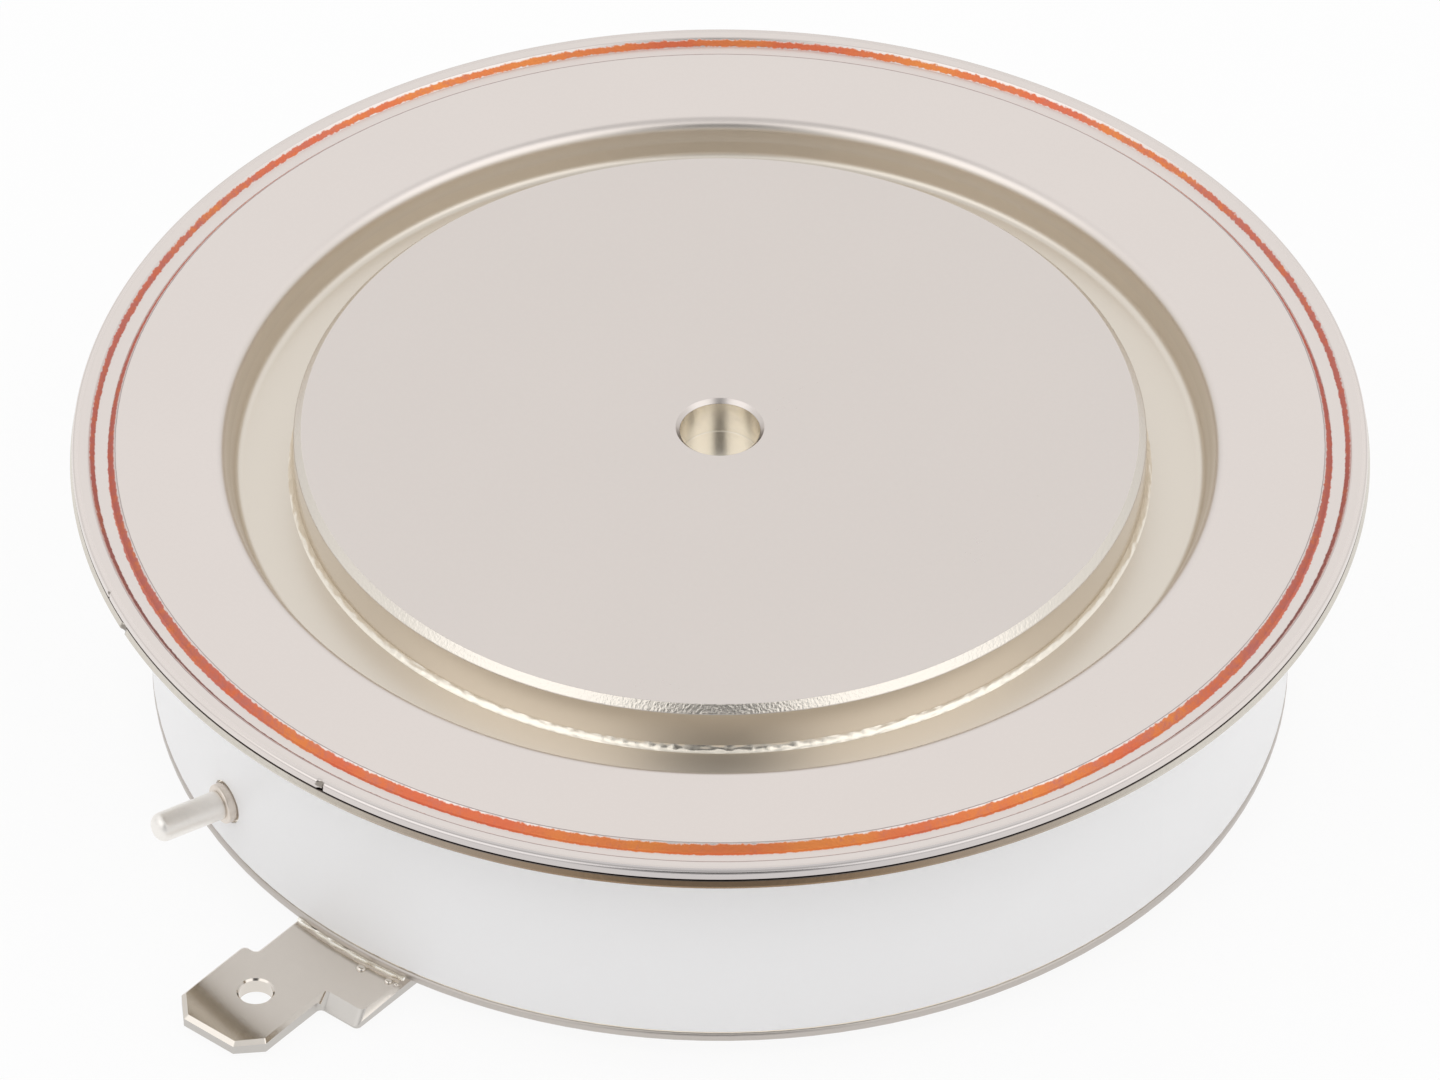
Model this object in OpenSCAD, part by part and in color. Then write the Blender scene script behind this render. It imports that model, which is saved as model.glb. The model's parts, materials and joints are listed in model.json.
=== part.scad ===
// Disc thyristor: a ceramic capsule with a copper pole on each side, a weld rim,
// a gate pin and a push-on cathode tab. Sizes are in millimetres.
// Z runs along the axis, from the cathode contact face at 0 up to the anode face.
// The cathode tab points along -Y.

/* [Poles] */
// Diameter of both poles at their contact faces
pole_d = 37; // [34:0.1:40]
// Height over both contact faces
total_h = 14.5; // [14:0.1:16]
// Chamfer round each contact face
pole_chamfer = 0.33; // [0.1:0.01:0.6]
// Width of the ledge on which each dished sheet seats
shoulder_w = 1.25; // [0.8:0.05:1.4]
// Chamfer on the inner edge of each pole
pole_inner_chamfer = 0.3; // [0.1:0.05:0.6]
// Length of the cathode pole, from its contact face to the stack
cathode_pole_h = 6.5; // [6:0.1:7.2]
// Diameter of the locating hole in each contact face
locating_d = 3.5; // [2.5:0.1:5]
// Depth of the locating holes
locating_depth = 1.75; // [1:0.05:2]
// Chamfer at the mouth of the locating holes
locating_chamfer = 0.18; // [0.05:0.01:0.4]

/* [Dished sheets] */
// Thickness of the flange sheets
sheet_t = 0.45; // [0.4:0.05:0.7]
// Step from the anode contact face down to the flange
face_to_flange = 0.71; // [0.5:0.01:1.5]
// Depth of the moat round each pole, below the flange
moat_depth = 1.6; // [1.1:0.05:1.7]
// Width of the moat floor, from the pole to the foot of the wall
moat_w = 2.5; // [2.3:0.1:3.5]
// Outward lean of the moat wall
moat_lean = 0.6; // [0.2:0.05:1]
// Inside radius of the bends in the sheet
bend_r = 0.5; // [0.1:0.05:0.55]
// Rounding of the sheets' outer edges
rim_round = 0.15; // [0.05:0.01:0.18]

/* [Weld rim] */
// Width of the lid's rim that stands out past the ceramic
rim_overhang = 3.25; // [2.8:0.05:5]
// Amount by which the lower sheet stands out past the lid
rim_step = 0.15; // [0:0.01:0.3]
// Land between the weld groove and the edge of the lid
rim_land = 0.7; // [0.5:0.05:1.2]
// Width of the weld groove at its mouth
groove_w = 1.15; // [0.9:0.05:1.4]
// Depth that the dies press into each sheet
groove_depth = 0.31; // [0.1:0.01:0.35]
// Lean of the groove's walls
groove_lean = 0.29; // [0.1:0.01:0.4]
// Direction of the dent in the lower sheet's edge, counted from +X
dent_angle = 244.5; // [0:0.5:360]
// Width of the dent
dent_w = 0.5; // [0.3:0.05:1]
// Depth of the dent
dent_depth = 0.12; // [0.05:0.01:0.25]

/* [Ceramic] */
// Wall of the ceramic ring
ceramic_wall = 2.5; // [2:0.1:4]
// Room between the moat's outer side and the ceramic
moat_room = 0.45; // [0.3:0.05:1]
// Rounding of the ceramic's edges
ceramic_round = 0.1; // [0.05:0.05:0.3]
// Thickness of the solder between ceramic and sheets
braze_t = 0.1; // [0.05:0.01:0.15]
// Set-back of the solder from the ceramic's edges
braze_inset = 0.1; // [0.1:0.05:0.6]
// Leg of the solder fillet at the foot of each pole
fillet_leg = 0.35; // [0.2:0.05:0.6]

/* [Cathode tab] */
// Thickness of the tab
tab_t = 0.8; // [0.5:0.1:0.9]
// Height of the tab's underside over the cathode contact face
tab_lift = 0.28; // [0.05:0.01:0.4]
// Width of the tab's base
tab_base_w = 6.2; // [5.5:0.1:8]
// Reach of the base under the flange
tab_lap = 2.3; // [1.5:0.1:2.4]
// Reach of the base past the ceramic
tab_base_out = 2.5; // [1.5:0.1:4]
// Bevelled lip in front of the base's wider shoulder
shoulder_bevel = 0.55; // [0.3:0.05:0.6]
// Width of the push-on blade
blade_w = 4.8; // [4:0.1:6.3]
// Length of the push-on blade
blade_l = 5.1; // [4.5:0.1:8]
// Sideways offset of the blade from the middle of the base
blade_offset = 1.4; // [0:0.01:2]
// Cut at the blade's front corners
blade_corner = 1; // [0.3:0.1:1.5]
// Bevel round the blade's front edge
blade_bevel = 0.2; // [0.05:0.05:0.35]
// Diameter of the hole in the blade
blade_hole_d = 1.5; // [1:0.1:2]
// Distance from the hole to the front edge
blade_hole_back = 3.1; // [2:0.1:3.5]
// Rounding of the tab's other corners
tab_round = 0.25; // [0.1:0.05:0.4]

/* [Gate terminal] */
// Direction of the gate pin, counted from +X
gate_angle = 251; // [200:1:255]
// Height of the gate pin's axis over the cathode contact face
gate_z = 4.15; // [4.05:0.05:4.6]
// Diameter of the gate pin
gate_pin_d = 1.3; // [1.1:0.1:1.5]
// Length of the gate pin outside its tube
gate_pin_l = 3.2; // [2:0.1:6]
// Rounding of the gate pin's end
gate_pin_round = 0.45; // [0.1:0.05:0.5]
// Diameter of the stem that passes through the tube
gate_stem_d = 0.95; // [0.8:0.05:0.95]
// Length of the stem inside the ceramic
gate_stem_in = 0.9; // [0.5:0.1:1.2]
// Outer diameter of the gate tube
gate_tube_d = 1.8; // [1.65:0.05:2]
// Length of the gate tube that stands out of the ceramic
gate_tube_proud = 0.4; // [0.2:0.05:1]

/* [Wafer stack] */
// Set-back of the anode's molybdenum disc from the edge of the pole
anode_disc_inset = 0.25; // [0.1:0.05:0.6]
// Thickness of the molybdenum disc on the anode side
anode_disc_t = 1.7; // [1.4:0.1:2.2]
// Set-back of the silicon from the edge of its disc
wafer_set_back = 0.5; // [0.2:0.1:0.8]
// Thickness of the silicon
wafer_t = 0.4; // [0.3:0.05:0.6]
// Width of the bevel ground on the silicon's edge
wafer_bevel = 0.5; // [0.3:0.1:0.8]
// Set-back of the cathode's molybdenum disc from the edge of the silicon
cathode_disc_inset = 1.5; // [1.1:0.1:2.5]
// Thickness of the molybdenum disc on the cathode side
cathode_disc_t = 1; // [0.8:0.1:1.2]
// Wall of the rubber seal round the stack
seal_wall = 0.6; // [0.3:0.05:0.7]
// Depth of the seal's bead under the silicon
seal_bead = 0.45; // [0.3:0.05:0.6]
// Height of the seal on the anode disc's side
seal_up = 0.8; // [0.4:0.1:1.2]
// Height of the locating ring above the seal's upper edge
ring_over = 0.6; // [0.2:0.1:1]

/* [Gate contact] */
// Outer diameter of the insulating cup
cup_d = 5.2; // [4.8:0.1:6]
// Wall of the cup round the spring
cup_wall = 0.5; // [0.35:0.05:0.6]
// Floor of the cup
cup_floor = 0.4; // [0.3:0.05:0.6]
// Copper left between the cup and the locating hole
cup_web = 0.85; // [0.6:0.05:1]
// Diameter of the spring wire
spring_wire = 0.28; // [0.2:0.01:0.3]
// Turns of the spring
spring_turns = 4.5; // [3.5:0.5:5]
// Closed turns at each end of the spring
spring_closed = 0.75; // [0.5:0.25:1]
// Height of the plunger's collar
collar_h = 0.4; // [0.3:0.05:0.5]
// Diameter of the plunger's tip
tip_d = 1.6; // [1.2:0.1:1.8]
// Length of the plunger's stem inside the spring
plunger_stem_l = 1; // [0.6:0.1:1.2]
// Wall of the bush round the plunger's tip
bush_wall = 0.5; // [0.3:0.05:0.6]
// Free travel between the plunger's collar and the bush
bush_gap = 0.25; // [0.15:0.05:0.3]
// Width of the ledge in the cup on which the bush sits
bush_ledge = 0.2; // [0.1:0.05:0.25]
// Diameter of the gate lead
lead_d = 0.6; // [0.4:0.05:0.65]
// Rise of the lead from the pin's axis to the plunger
lead_rise = 0.9; // [0.6:0.05:1]
// Length over which the lead rises
lead_bend_l = 2.45; // [2:0.05:4]
// Outer diameter of the lead's sleeve
sleeve_d = 1.4; // [1.3:0.05:1.5]

/* [Fits] */
// Radial gap between a brazed sheet or tube and what it sits on
braze_gap = 0.05; // [0.02:0.01:0.1]
// Radial gap of the parts that slide or drop in
slip_gap = 0.05; // [0.02:0.01:0.1]
// Radial gap round the wafer stack and the locating ring
stack_gap = 0.15; // [0.1:0.05:0.25]

/* [Hidden] */

// Fineness of the turned shapes, of their rounded corners and of bent wire
turn_fn = 96;
arc_steps = 6;
wire_sides = 8;
rings_per_turn = 16;
lead_rings = 10;
// Overlap of a cutting shape past the surface that it cuts
cut = 1;

// Radii from the axis outwards
pole_r = pole_d / 2;
shoulder_r = pole_r + shoulder_w;
sheet_hole_r = pole_r + braze_gap;
moat_foot_r = pole_r + moat_w;
moat_lip_r = moat_foot_r + moat_lean;
wall_angle = atan2(moat_depth, moat_lean);
bend_shift = sheet_t * tan(wall_angle / 2);
ceramic_in_r = moat_lip_r + bend_shift + moat_room;
ceramic_r = ceramic_in_r + ceramic_wall;
rim_r = ceramic_r + rim_overhang;
weld_rim_r = rim_r + rim_step;
groove_out_r = rim_r - rim_land;
groove_in_r = groove_out_r - groove_w;

// Heights from the cathode contact face upwards
cathode_flange_z = tab_lift + tab_t;
cathode_seat_z = cathode_flange_z + moat_depth + sheet_t;
ceramic_z = cathode_flange_z + sheet_t + braze_t;
lid_z = total_h - face_to_flange;
anode_seat_z = lid_z - moat_depth - sheet_t;
weld_flange_z = lid_z - sheet_t;
ceramic_top_z = weld_flange_z - sheet_t - braze_t;
wafer_z = cathode_pole_h + cathode_disc_t;
anode_disc_z = wafer_z + wafer_t;
anode_pole_z = anode_disc_z + anode_disc_t;

// The wafer stack and what surrounds it
anode_disc_r = shoulder_r - anode_disc_inset;
wafer_r = anode_disc_r - wafer_set_back;
wafer_face_r = wafer_r - wafer_bevel;
cathode_disc_r = wafer_r - cathode_disc_inset;
seal_r = anode_disc_r + seal_wall;
seal_in_r = cathode_disc_r + stack_gap;
seal_z = wafer_z - seal_bead;
seal_top_z = anode_disc_z + seal_up;
ring_low_r = shoulder_r + stack_gap;
ring_high_r = seal_r + stack_gap;
ring_out_r = ceramic_in_r - 2 * stack_gap;
ring_step_z = seal_z - stack_gap;
ring_top_z = seal_top_z + ring_over;

// The gate terminal, as distances from the axis along the pin
gate_pin_r = gate_pin_d / 2;
gate_stem_r = gate_stem_d / 2;
gate_tube_r = gate_tube_d / 2;
gate_tube_bore_r = gate_stem_r + slip_gap;
gate_hole_r = gate_tube_r + braze_t;
gate_tube_end = ceramic_r + gate_tube_proud;
gate_pin_end = gate_tube_end + gate_pin_l;
gate_stem_end = ceramic_in_r - gate_stem_in;

// The spring-loaded gate contact
cup_r = cup_d / 2;
cup_bore_r = cup_r + slip_gap;
cup_in_r = cup_r - cup_wall;
cup_z = locating_depth + cup_web;
cup_top_z = cathode_pole_h - slip_gap;
spring_z = cup_z + cup_floor;
spring_gap = 2 * slip_gap;
spring_r = cup_in_r - 3 * spring_gap - spring_wire;
collar_r = spring_r + spring_wire / 2;
collar_z = gate_z + lead_rise - collar_h / 2;
plunger_stem_r = spring_r - spring_wire / 2 - spring_gap;
tip_r = tip_d / 2;
bush_z = collar_z + collar_h + bush_gap;
bush_seat_r = cup_in_r + bush_ledge;
bush_bore_r = tip_r + slip_gap;
bush_neck_r = bush_bore_r + bush_wall;
disc_hole_r = bush_neck_r + stack_gap;

// The lead, its sleeve and the slot for both
lead_r = lead_d / 2;
lead_bend_start = collar_r + slip_gap + lead_bend_l;
sleeve_r = sleeve_d / 2;
sleeve_bore_r = lead_r + slip_gap;
sleeve_end = gate_stem_end - slip_gap;
slot_w = sleeve_d + 2 * slip_gap;
slot_z = gate_z - sleeve_r;
notch_w = lead_d + 4 * slip_gap;
notch_z = gate_z - lead_r;

// Unit vector along v
function unit(v) = v / norm(v);

// Points of the arc of radius r that rounds the corner b between a and c
function corner(a, b, c, r) =
    let (u = unit(a - b))
    let (w = unit(c - b))
    let (half = acos(u * w) / 2)
    let (centre = b + unit(u + w) * r / sin(half))
    let (from = b + u * r / tan(half) - centre)
    let (to = b + w * r / tan(half) - centre)
    let (start = atan2(from.y, from.x))
    let (turn = atan2(cross(from, to), from * to))
    [for (i = [0:arc_steps])
        let (angle = start + turn * i / arc_steps)
        centre + r * [cos(angle), sin(angle)]
    ];

// Closed outline through points given as [x, y, corner radius]
function outline(path) =
    let (n = len(path))
    let (points = [for (p = path) [p.x, p.y]])
    [for (i = [0:n - 1])
        each path[i].z > 0
            ? corner(points[(i + n - 1) % n], points[i], points[(i + 1) % n], path[i].z)
            : [points[i]]
    ];

// Section of the weld groove in a face at height z, pressed by depth, inside to outside
function groove(z, depth) = [
    [groove_in_r, z, 0],
    [groove_in_r + groove_lean, z - depth, 0],
    [groove_out_r - groove_lean, z - depth, 0],
    [groove_out_r, z, 0]
];

// Section of a dished sheet: moat, leaning wall and flange out to edge_r, flange face at 0
function dished_sheet(edge_r, flange_face) = concat(
    [
        [sheet_hole_r, -moat_depth - sheet_t, 0],
        [sheet_hole_r, -moat_depth, 0],
        [moat_foot_r, -moat_depth, bend_r],
        [moat_lip_r, 0, bend_r + sheet_t]
    ],
    flange_face,
    [
        [edge_r, 0, rim_round],
        [edge_r, -sheet_t, rim_round],
        [moat_lip_r + bend_shift, -sheet_t, bend_r],
        [moat_foot_r + bend_shift, -moat_depth - sheet_t, bend_r + sheet_t]
    ]
);

// Section of the solder fillet between a pole's wall and the moat floor at 0
function fillet_section() = concat(
    [[pole_r, 0, 0]],
    [for (i = [0:arc_steps])
        let (angle = 270 - 90 * i / arc_steps)
        [pole_r + fillet_leg * (1 + cos(angle)), fillet_leg * (1 + sin(angle)), 0]
    ]
);

// Section of a pole's contact end: chamfered face at 0, locating hole, wall down to depth
function contact_end(depth) = [
    [0, -locating_depth, 0],
    [locating_d / 2, -locating_depth, 0],
    [locating_d / 2, -locating_chamfer, 0],
    [locating_d / 2 + locating_chamfer, 0, 0],
    [pole_r - pole_chamfer, 0, 0],
    [pole_r, -pole_chamfer, 0],
    [pole_r, -depth, 0]
];

// Section of a whole pole with its sheet's seat at depth and its inner face at length
function pole_section(depth, length) = concat(
    contact_end(depth),
    [
        [shoulder_r, -depth, 0],
        [shoulder_r, -length + pole_inner_chamfer, 0],
        [shoulder_r - pole_inner_chamfer, -length, 0],
        [0, -length, 0]
    ]
);

// Height of the lead's axis at a distance x from the capsule's axis
function lead_height(x) =
    let (s = min(1, max(0, (lead_bend_start - x) / lead_bend_l)))
    gate_z + lead_rise * s * s * (3 - 2 * s);

// Route of the lead, from the pin's stem to the plunger's collar
function lead_route() = concat(
    [[gate_stem_end, 0, gate_z]],
    [for (i = [0:lead_rings])
        let (x = lead_bend_start - lead_bend_l * i / lead_rings)
        [x, 0, lead_height(x)]
    ]
);

// Share of the spring's rise that is reached after t turns
function spring_share(t) =
    let (active = spring_turns - 2 * spring_closed)
    let (rise = collar_z - spring_z - spring_wire)
    let (closed_rise = spring_closed * spring_wire)
    let (open_rise = rise - 2 * closed_rise)
    (t <= spring_closed ? t * spring_wire
        : t >= spring_closed + active ? rise - (spring_turns - t) * spring_wire
        : closed_rise + open_rise * (t - spring_closed) / active) / rise;

// Route of the spring's wire, from the floor of the cup to the plunger's collar
function spring_route() =
    let (steps = spring_turns * rings_per_turn)
    let (rise = collar_z - spring_z - spring_wire)
    [for (i = [0:steps])
        let (t = i / rings_per_turn)
        [
            spring_r * cos(360 * t),
            spring_r * sin(360 * t),
            spring_z + spring_wire / 2 + rise * spring_share(t)
        ]
    ];

// Turned ring or disc from a section of [radius, height, corner radius]
module turned(section) {
    rotate_extrude($fn = turn_fn)
        polygon(outline(section));
}

// Round bar bent along a route, with flat ends
module wire(route, radius) {
    n = len(route);
    points = [
        for (i = [0:n - 1])
            let (along = unit(route[min(i + 1, n - 1)] - route[max(i - 1, 0)]))
            let (side = unit(cross(along, [0, 0, 1])))
            let (over = cross(side, along))
            for (k = [0:wire_sides - 1])
                let (angle = 360 * k / wire_sides)
                route[i] + radius * (cos(angle) * side + sin(angle) * over)
    ];
    sides = [
        for (i = [0:n - 2])
            for (k = [0:wire_sides - 1])
                let (next = (k + 1) % wire_sides)
                [
                    i * wire_sides + k,
                    i * wire_sides + next,
                    (i + 1) * wire_sides + next,
                    (i + 1) * wire_sides + k
                ]
    ];
    first = [for (k = [0:wire_sides - 1]) wire_sides - 1 - k];
    last = [for (k = [0:wire_sides - 1]) (n - 1) * wire_sides + k];
    polyhedron(points, concat(sides, [first, last]));
}

// Turns its children, drawn along X, into the direction of the gate pin
module toward_gate() {
    rotate([0, 0, gate_angle])
        children();
}

// Lays its children, drawn along Z, on the gate pin's axis
module on_gate_axis() {
    toward_gate()
        translate([0, 0, gate_z])
            rotate([0, 90, 0])
                children();
}

// Copper pole of the anode, with its locating hole
module anode_pole() {
    color("gainsboro")
        translate([0, 0, total_h])
            turned(pole_section(total_h - anode_seat_z, total_h - anode_pole_z));
}

// Dished lid with the weld groove, seated on the anode pole's ledge
module anode_lid() {
    color("lightgray")
        translate([0, 0, lid_z])
            turned(dished_sheet(rim_r, groove(0, groove_depth)));
}

// Solder fillet at the foot of the anode pole
module anode_braze() {
    color("silver")
        translate([0, 0, lid_z - moat_depth])
            turned(fillet_section());
}

// Lower sheet of the weld rim, pressed from below and dented at its edge
module weld_flange() {
    dent_r = (dent_w * dent_w / 4 + dent_depth * dent_depth) / (2 * dent_depth);
    color("silver")
        difference() {
            translate([0, 0, weld_flange_z])
                mirror([0, 0, 1])
                    turned(concat(
                        [[ceramic_in_r, 0, 0], [ceramic_in_r, sheet_t, 0]],
                        groove(sheet_t, groove_depth),
                        [[weld_rim_r, sheet_t, rim_round], [weld_rim_r, 0, rim_round]]
                    ));
            rotate([0, 0, dent_angle])
                translate([weld_rim_r - dent_depth + dent_r, 0, weld_flange_z - sheet_t - cut])
                    cylinder(r = dent_r, h = sheet_t + 2 * cut, $fn = turn_fn);
        }
}

// Washer of solder on an end of the ceramic
module ceramic_braze() {
    turned([
        [ceramic_in_r + braze_inset, 0, 0],
        [ceramic_r - braze_inset, 0, 0],
        [ceramic_r - braze_inset, braze_t, 0],
        [ceramic_in_r + braze_inset, braze_t, 0]
    ]);
}

// Solder between the ceramic and the weld rim
module upper_braze() {
    color("darkgray")
        translate([0, 0, ceramic_top_z])
            ceramic_braze();
}

// White insulating ring with the hole for the gate tube
module ceramic_ring() {
    color("whitesmoke")
        difference() {
            turned([
                [ceramic_in_r, ceramic_z, ceramic_round],
                [ceramic_r, ceramic_z, ceramic_round],
                [ceramic_r, ceramic_top_z, ceramic_round],
                [ceramic_in_r, ceramic_top_z, ceramic_round]
            ]);
            on_gate_axis()
                translate([0, 0, ceramic_in_r - cut])
                    cylinder(r = gate_hole_r, h = ceramic_wall + 2 * cut, $fn = turn_fn);
        }
}

// Solder between the ceramic and the cathode flange
module lower_braze() {
    color("darkgray")
        translate([0, 0, cathode_flange_z + sheet_t])
            ceramic_braze();
}

// Dished sheet that closes the underside, flush with the ceramic
module cathode_flange() {
    color("lightgray")
        translate([0, 0, cathode_flange_z])
            mirror([0, 0, 1])
                turned(dished_sheet(ceramic_r, []));
}

// Solder fillet at the foot of the cathode pole
module cathode_braze() {
    color("silver")
        translate([0, 0, cathode_flange_z + moat_depth])
            mirror([0, 0, 1])
                turned(fillet_section());
}

// Copper pole of the cathode, with the bore for the gate contact and the lead's slot
module cathode_pole() {
    color("gainsboro")
        difference() {
            mirror([0, 0, 1])
                turned(pole_section(cathode_seat_z, cathode_pole_h));
            translate([0, 0, cup_z])
                cylinder(r = cup_bore_r, h = cathode_pole_h, $fn = turn_fn);
            toward_gate()
                translate([0, -slot_w / 2, slot_z])
                    cube([shoulder_r + cut, slot_w, cathode_pole_h]);
        }
}

// Prism that bevels the upper edge of a plate from a to b, at the plate's top face
module edge_bevel(a, b, size) {
    translate([a.x, a.y, 0])
        rotate([0, 0, atan2(b.y - a.y, b.x - a.x)])
            translate([-cut, 0, 0])
                rotate([90, 0, 90])
                    linear_extrude(norm(b - a) + 2 * cut)
                        polygon([
                            [-cut, -size - cut],
                            [size + cut, cut],
                            [-cut, cut]
                        ]);
}

// Stamped push-on tab, welded under the cathode flange
module cathode_tab() {
    root = -(ceramic_r - tab_lap);
    step = -(ceramic_r + tab_base_out);
    front = step - blade_l;
    lip = step - shoulder_bevel;
    half_base = tab_base_w / 2;
    left = -blade_offset - blade_w / 2;
    right = -blade_offset + blade_w / 2;
    front_edge = [
        [left, front + blade_corner],
        [left + blade_corner, front],
        [right - blade_corner, front],
        [right, front + blade_corner]
    ];
    color("tan")
        translate([0, 0, tab_lift])
            difference() {
                linear_extrude(tab_t)
                    polygon(outline(concat(
                        [
                            [half_base, lip, tab_round],
                            [half_base, root, 0],
                            [-half_base, root, 0],
                            [-half_base, step, tab_round],
                            [left, step, tab_round]
                        ],
                        [for (p = front_edge) [p.x, p.y, 0]],
                        [[right, lip, tab_round]]
                    )));
                translate([-blade_offset, front + blade_hole_back, -cut])
                    cylinder(d = blade_hole_d, h = tab_t + 2 * cut, $fn = turn_fn);
                translate([0, 0, tab_t])
                    edge_bevel([right + tab_round, lip], [half_base, lip], shoulder_bevel);
                for (i = [0:len(front_edge) - 2]) {
                    translate([0, 0, tab_t])
                        edge_bevel(front_edge[i], front_edge[i + 1], blade_bevel);
                    mirror([0, 0, 1])
                        edge_bevel(front_edge[i], front_edge[i + 1], blade_bevel);
                }
            }
}

// Tube that carries the gate pin through the ceramic
module gate_tube() {
    color("silver")
        on_gate_axis()
            turned([
                [gate_tube_bore_r, ceramic_in_r, 0],
                [gate_tube_r, ceramic_in_r, 0],
                [gate_tube_r, gate_tube_end, 2 * slip_gap],
                [gate_tube_bore_r, gate_tube_end, 0]
            ]);
}

// Solder sleeve that seals the tube in the ceramic
module gate_tube_braze() {
    color("darkgray")
        on_gate_axis()
            turned([
                [gate_tube_r, ceramic_in_r + braze_t, 0],
                [gate_hole_r, ceramic_in_r + braze_t, 0],
                [gate_hole_r, ceramic_r - braze_t, 0],
                [gate_tube_r, ceramic_r - braze_t, 0]
            ]);
}

// Round-ended pin that seats on the tube's end, with a stem through the tube
module gate_pin() {
    color("gainsboro")
        on_gate_axis()
            turned([
                [0, gate_stem_end, 0],
                [gate_stem_r, gate_stem_end, 0],
                [gate_stem_r, gate_tube_end, 0],
                [gate_pin_r, gate_tube_end, 0],
                [gate_pin_r, gate_pin_end, gate_pin_round],
                [0, gate_pin_end, 0]
            ]);
}

// Wire from the pin's stem to the plunger
module gate_lead() {
    color("silver")
        toward_gate()
            wire(lead_route(), lead_r);
}

// Insulating sleeve on the straight part of the lead
module lead_sleeve() {
    color("ivory")
        on_gate_axis()
            turned([
                [sleeve_bore_r, lead_bend_start, 0],
                [sleeve_r, lead_bend_start, 0],
                [sleeve_r, sleeve_end, 0],
                [sleeve_bore_r, sleeve_end, 0]
            ]);
}

// Insulating cup for the spring, notched for the lead, with a ledge for the bush
module gate_cup() {
    color("ivory")
        difference() {
            turned([
                [0, cup_z, 0],
                [cup_r, cup_z, 0],
                [cup_r, cup_top_z, 0],
                [bush_seat_r, cup_top_z, 0],
                [bush_seat_r, bush_z, 0],
                [cup_in_r, bush_z, 0],
                [cup_in_r, spring_z, 0],
                [0, spring_z, 0]
            ]);
            toward_gate()
                translate([0, -notch_w / 2, notch_z])
                    cube([cup_r + cut, notch_w, cathode_pole_h]);
        }
}

// Spring that presses the plunger against the wafer
module gate_spring() {
    color("silver")
        wire(spring_route(), spring_wire / 2);
}

// Plunger with a collar for the spring and the lead, and a tip that meets the wafer
module gate_contact() {
    color("gainsboro")
        turned([
            [0, collar_z - plunger_stem_l, 0],
            [plunger_stem_r, collar_z - plunger_stem_l, 2 * slip_gap],
            [plunger_stem_r, collar_z, 0],
            [collar_r, collar_z, 0],
            [collar_r, collar_z + collar_h, 0],
            [tip_r, collar_z + collar_h, 0],
            [tip_r, wafer_z, 2 * slip_gap],
            [0, wafer_z, 0]
        ]);
}

// Insulating bush that guides the tip through the cathode disc
module gate_bush() {
    color("ivory")
        turned([
            [bush_bore_r, bush_z, 0],
            [bush_seat_r - slip_gap, bush_z, 0],
            [bush_seat_r - slip_gap, cup_top_z, 0],
            [bush_neck_r, cup_top_z, 0],
            [bush_neck_r, wafer_z - stack_gap, 0],
            [bush_bore_r, wafer_z - stack_gap, 0]
        ]);
}

// Molybdenum disc between the cathode pole and the silicon
module cathode_disc() {
    color("gray")
        turned([
            [disc_hole_r, cathode_pole_h, 0],
            [cathode_disc_r, cathode_pole_h, 0],
            [cathode_disc_r, wafer_z, 0],
            [disc_hole_r, wafer_z, 0]
        ]);
}

// Silicon wafer with its bevelled edge
module silicon_wafer() {
    color("dimgray")
        turned([
            [0, wafer_z, 0],
            [wafer_face_r, wafer_z, 0],
            [wafer_r, anode_disc_z, 0],
            [0, anode_disc_z, 0]
        ]);
}

// Molybdenum disc that carries the silicon
module anode_disc() {
    color("gray")
        turned([
            [0, anode_disc_z, 0],
            [anode_disc_r, anode_disc_z, 0],
            [anode_disc_r, anode_pole_z, 0],
            [0, anode_pole_z, 0]
        ]);
}

// Rubber moulded over the edge of the silicon and its disc
module edge_seal() {
    color("firebrick")
        turned([
            [seal_in_r, wafer_z, 0],
            [seal_in_r, seal_z, seal_bead / 2],
            [seal_r, seal_z, seal_bead],
            [seal_r, seal_top_z, 0],
            [anode_disc_r, seal_top_z, 0],
            [anode_disc_r, anode_disc_z, 0],
            [wafer_r, anode_disc_z, 0],
            [wafer_face_r, wafer_z, 0]
        ]);
}

// Plastic ring that centres the stack, with a hole for the sleeved lead
module locating_ring() {
    color("ivory")
        difference() {
            turned([
                [ring_low_r, cathode_seat_z, 0],
                [ring_out_r, cathode_seat_z, 0],
                [ring_out_r, ring_top_z, 0],
                [ring_high_r, ring_top_z, 0],
                [ring_high_r, ring_step_z, 0],
                [ring_low_r, ring_step_z, 0]
            ]);
            on_gate_axis()
                translate([0, 0, ring_low_r - cut])
                    cylinder(r = sleeve_r + slip_gap, h = ceramic_wall + 2 * cut, $fn = turn_fn);
        }
}

anode_pole();
anode_lid();
anode_braze();
weld_flange();
upper_braze();
ceramic_ring();
lower_braze();
cathode_flange();
cathode_braze();
cathode_pole();
cathode_tab();
gate_tube();
gate_tube_braze();
gate_pin();
gate_lead();
lead_sleeve();
gate_cup();
gate_spring();
gate_contact();
gate_bush();
cathode_disc();
silicon_wafer();
anode_disc();
edge_seal();
locating_ring();
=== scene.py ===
# %% [markdown]
# # Dressing a disc thyristor for the studio
# A disc thyristor is a power switch in a flat capsule. Two nickel-plated copper poles
# carry the current, a white ceramic ring keeps them apart, and thin pressed sheets
# close the capsule. The solid model already puts every piece in its place, in metres.
# Here the pieces that the camera sees closely get finer meshes, every piece gets a
# finish, and a white studio and a long lens complete the picture.

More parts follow.
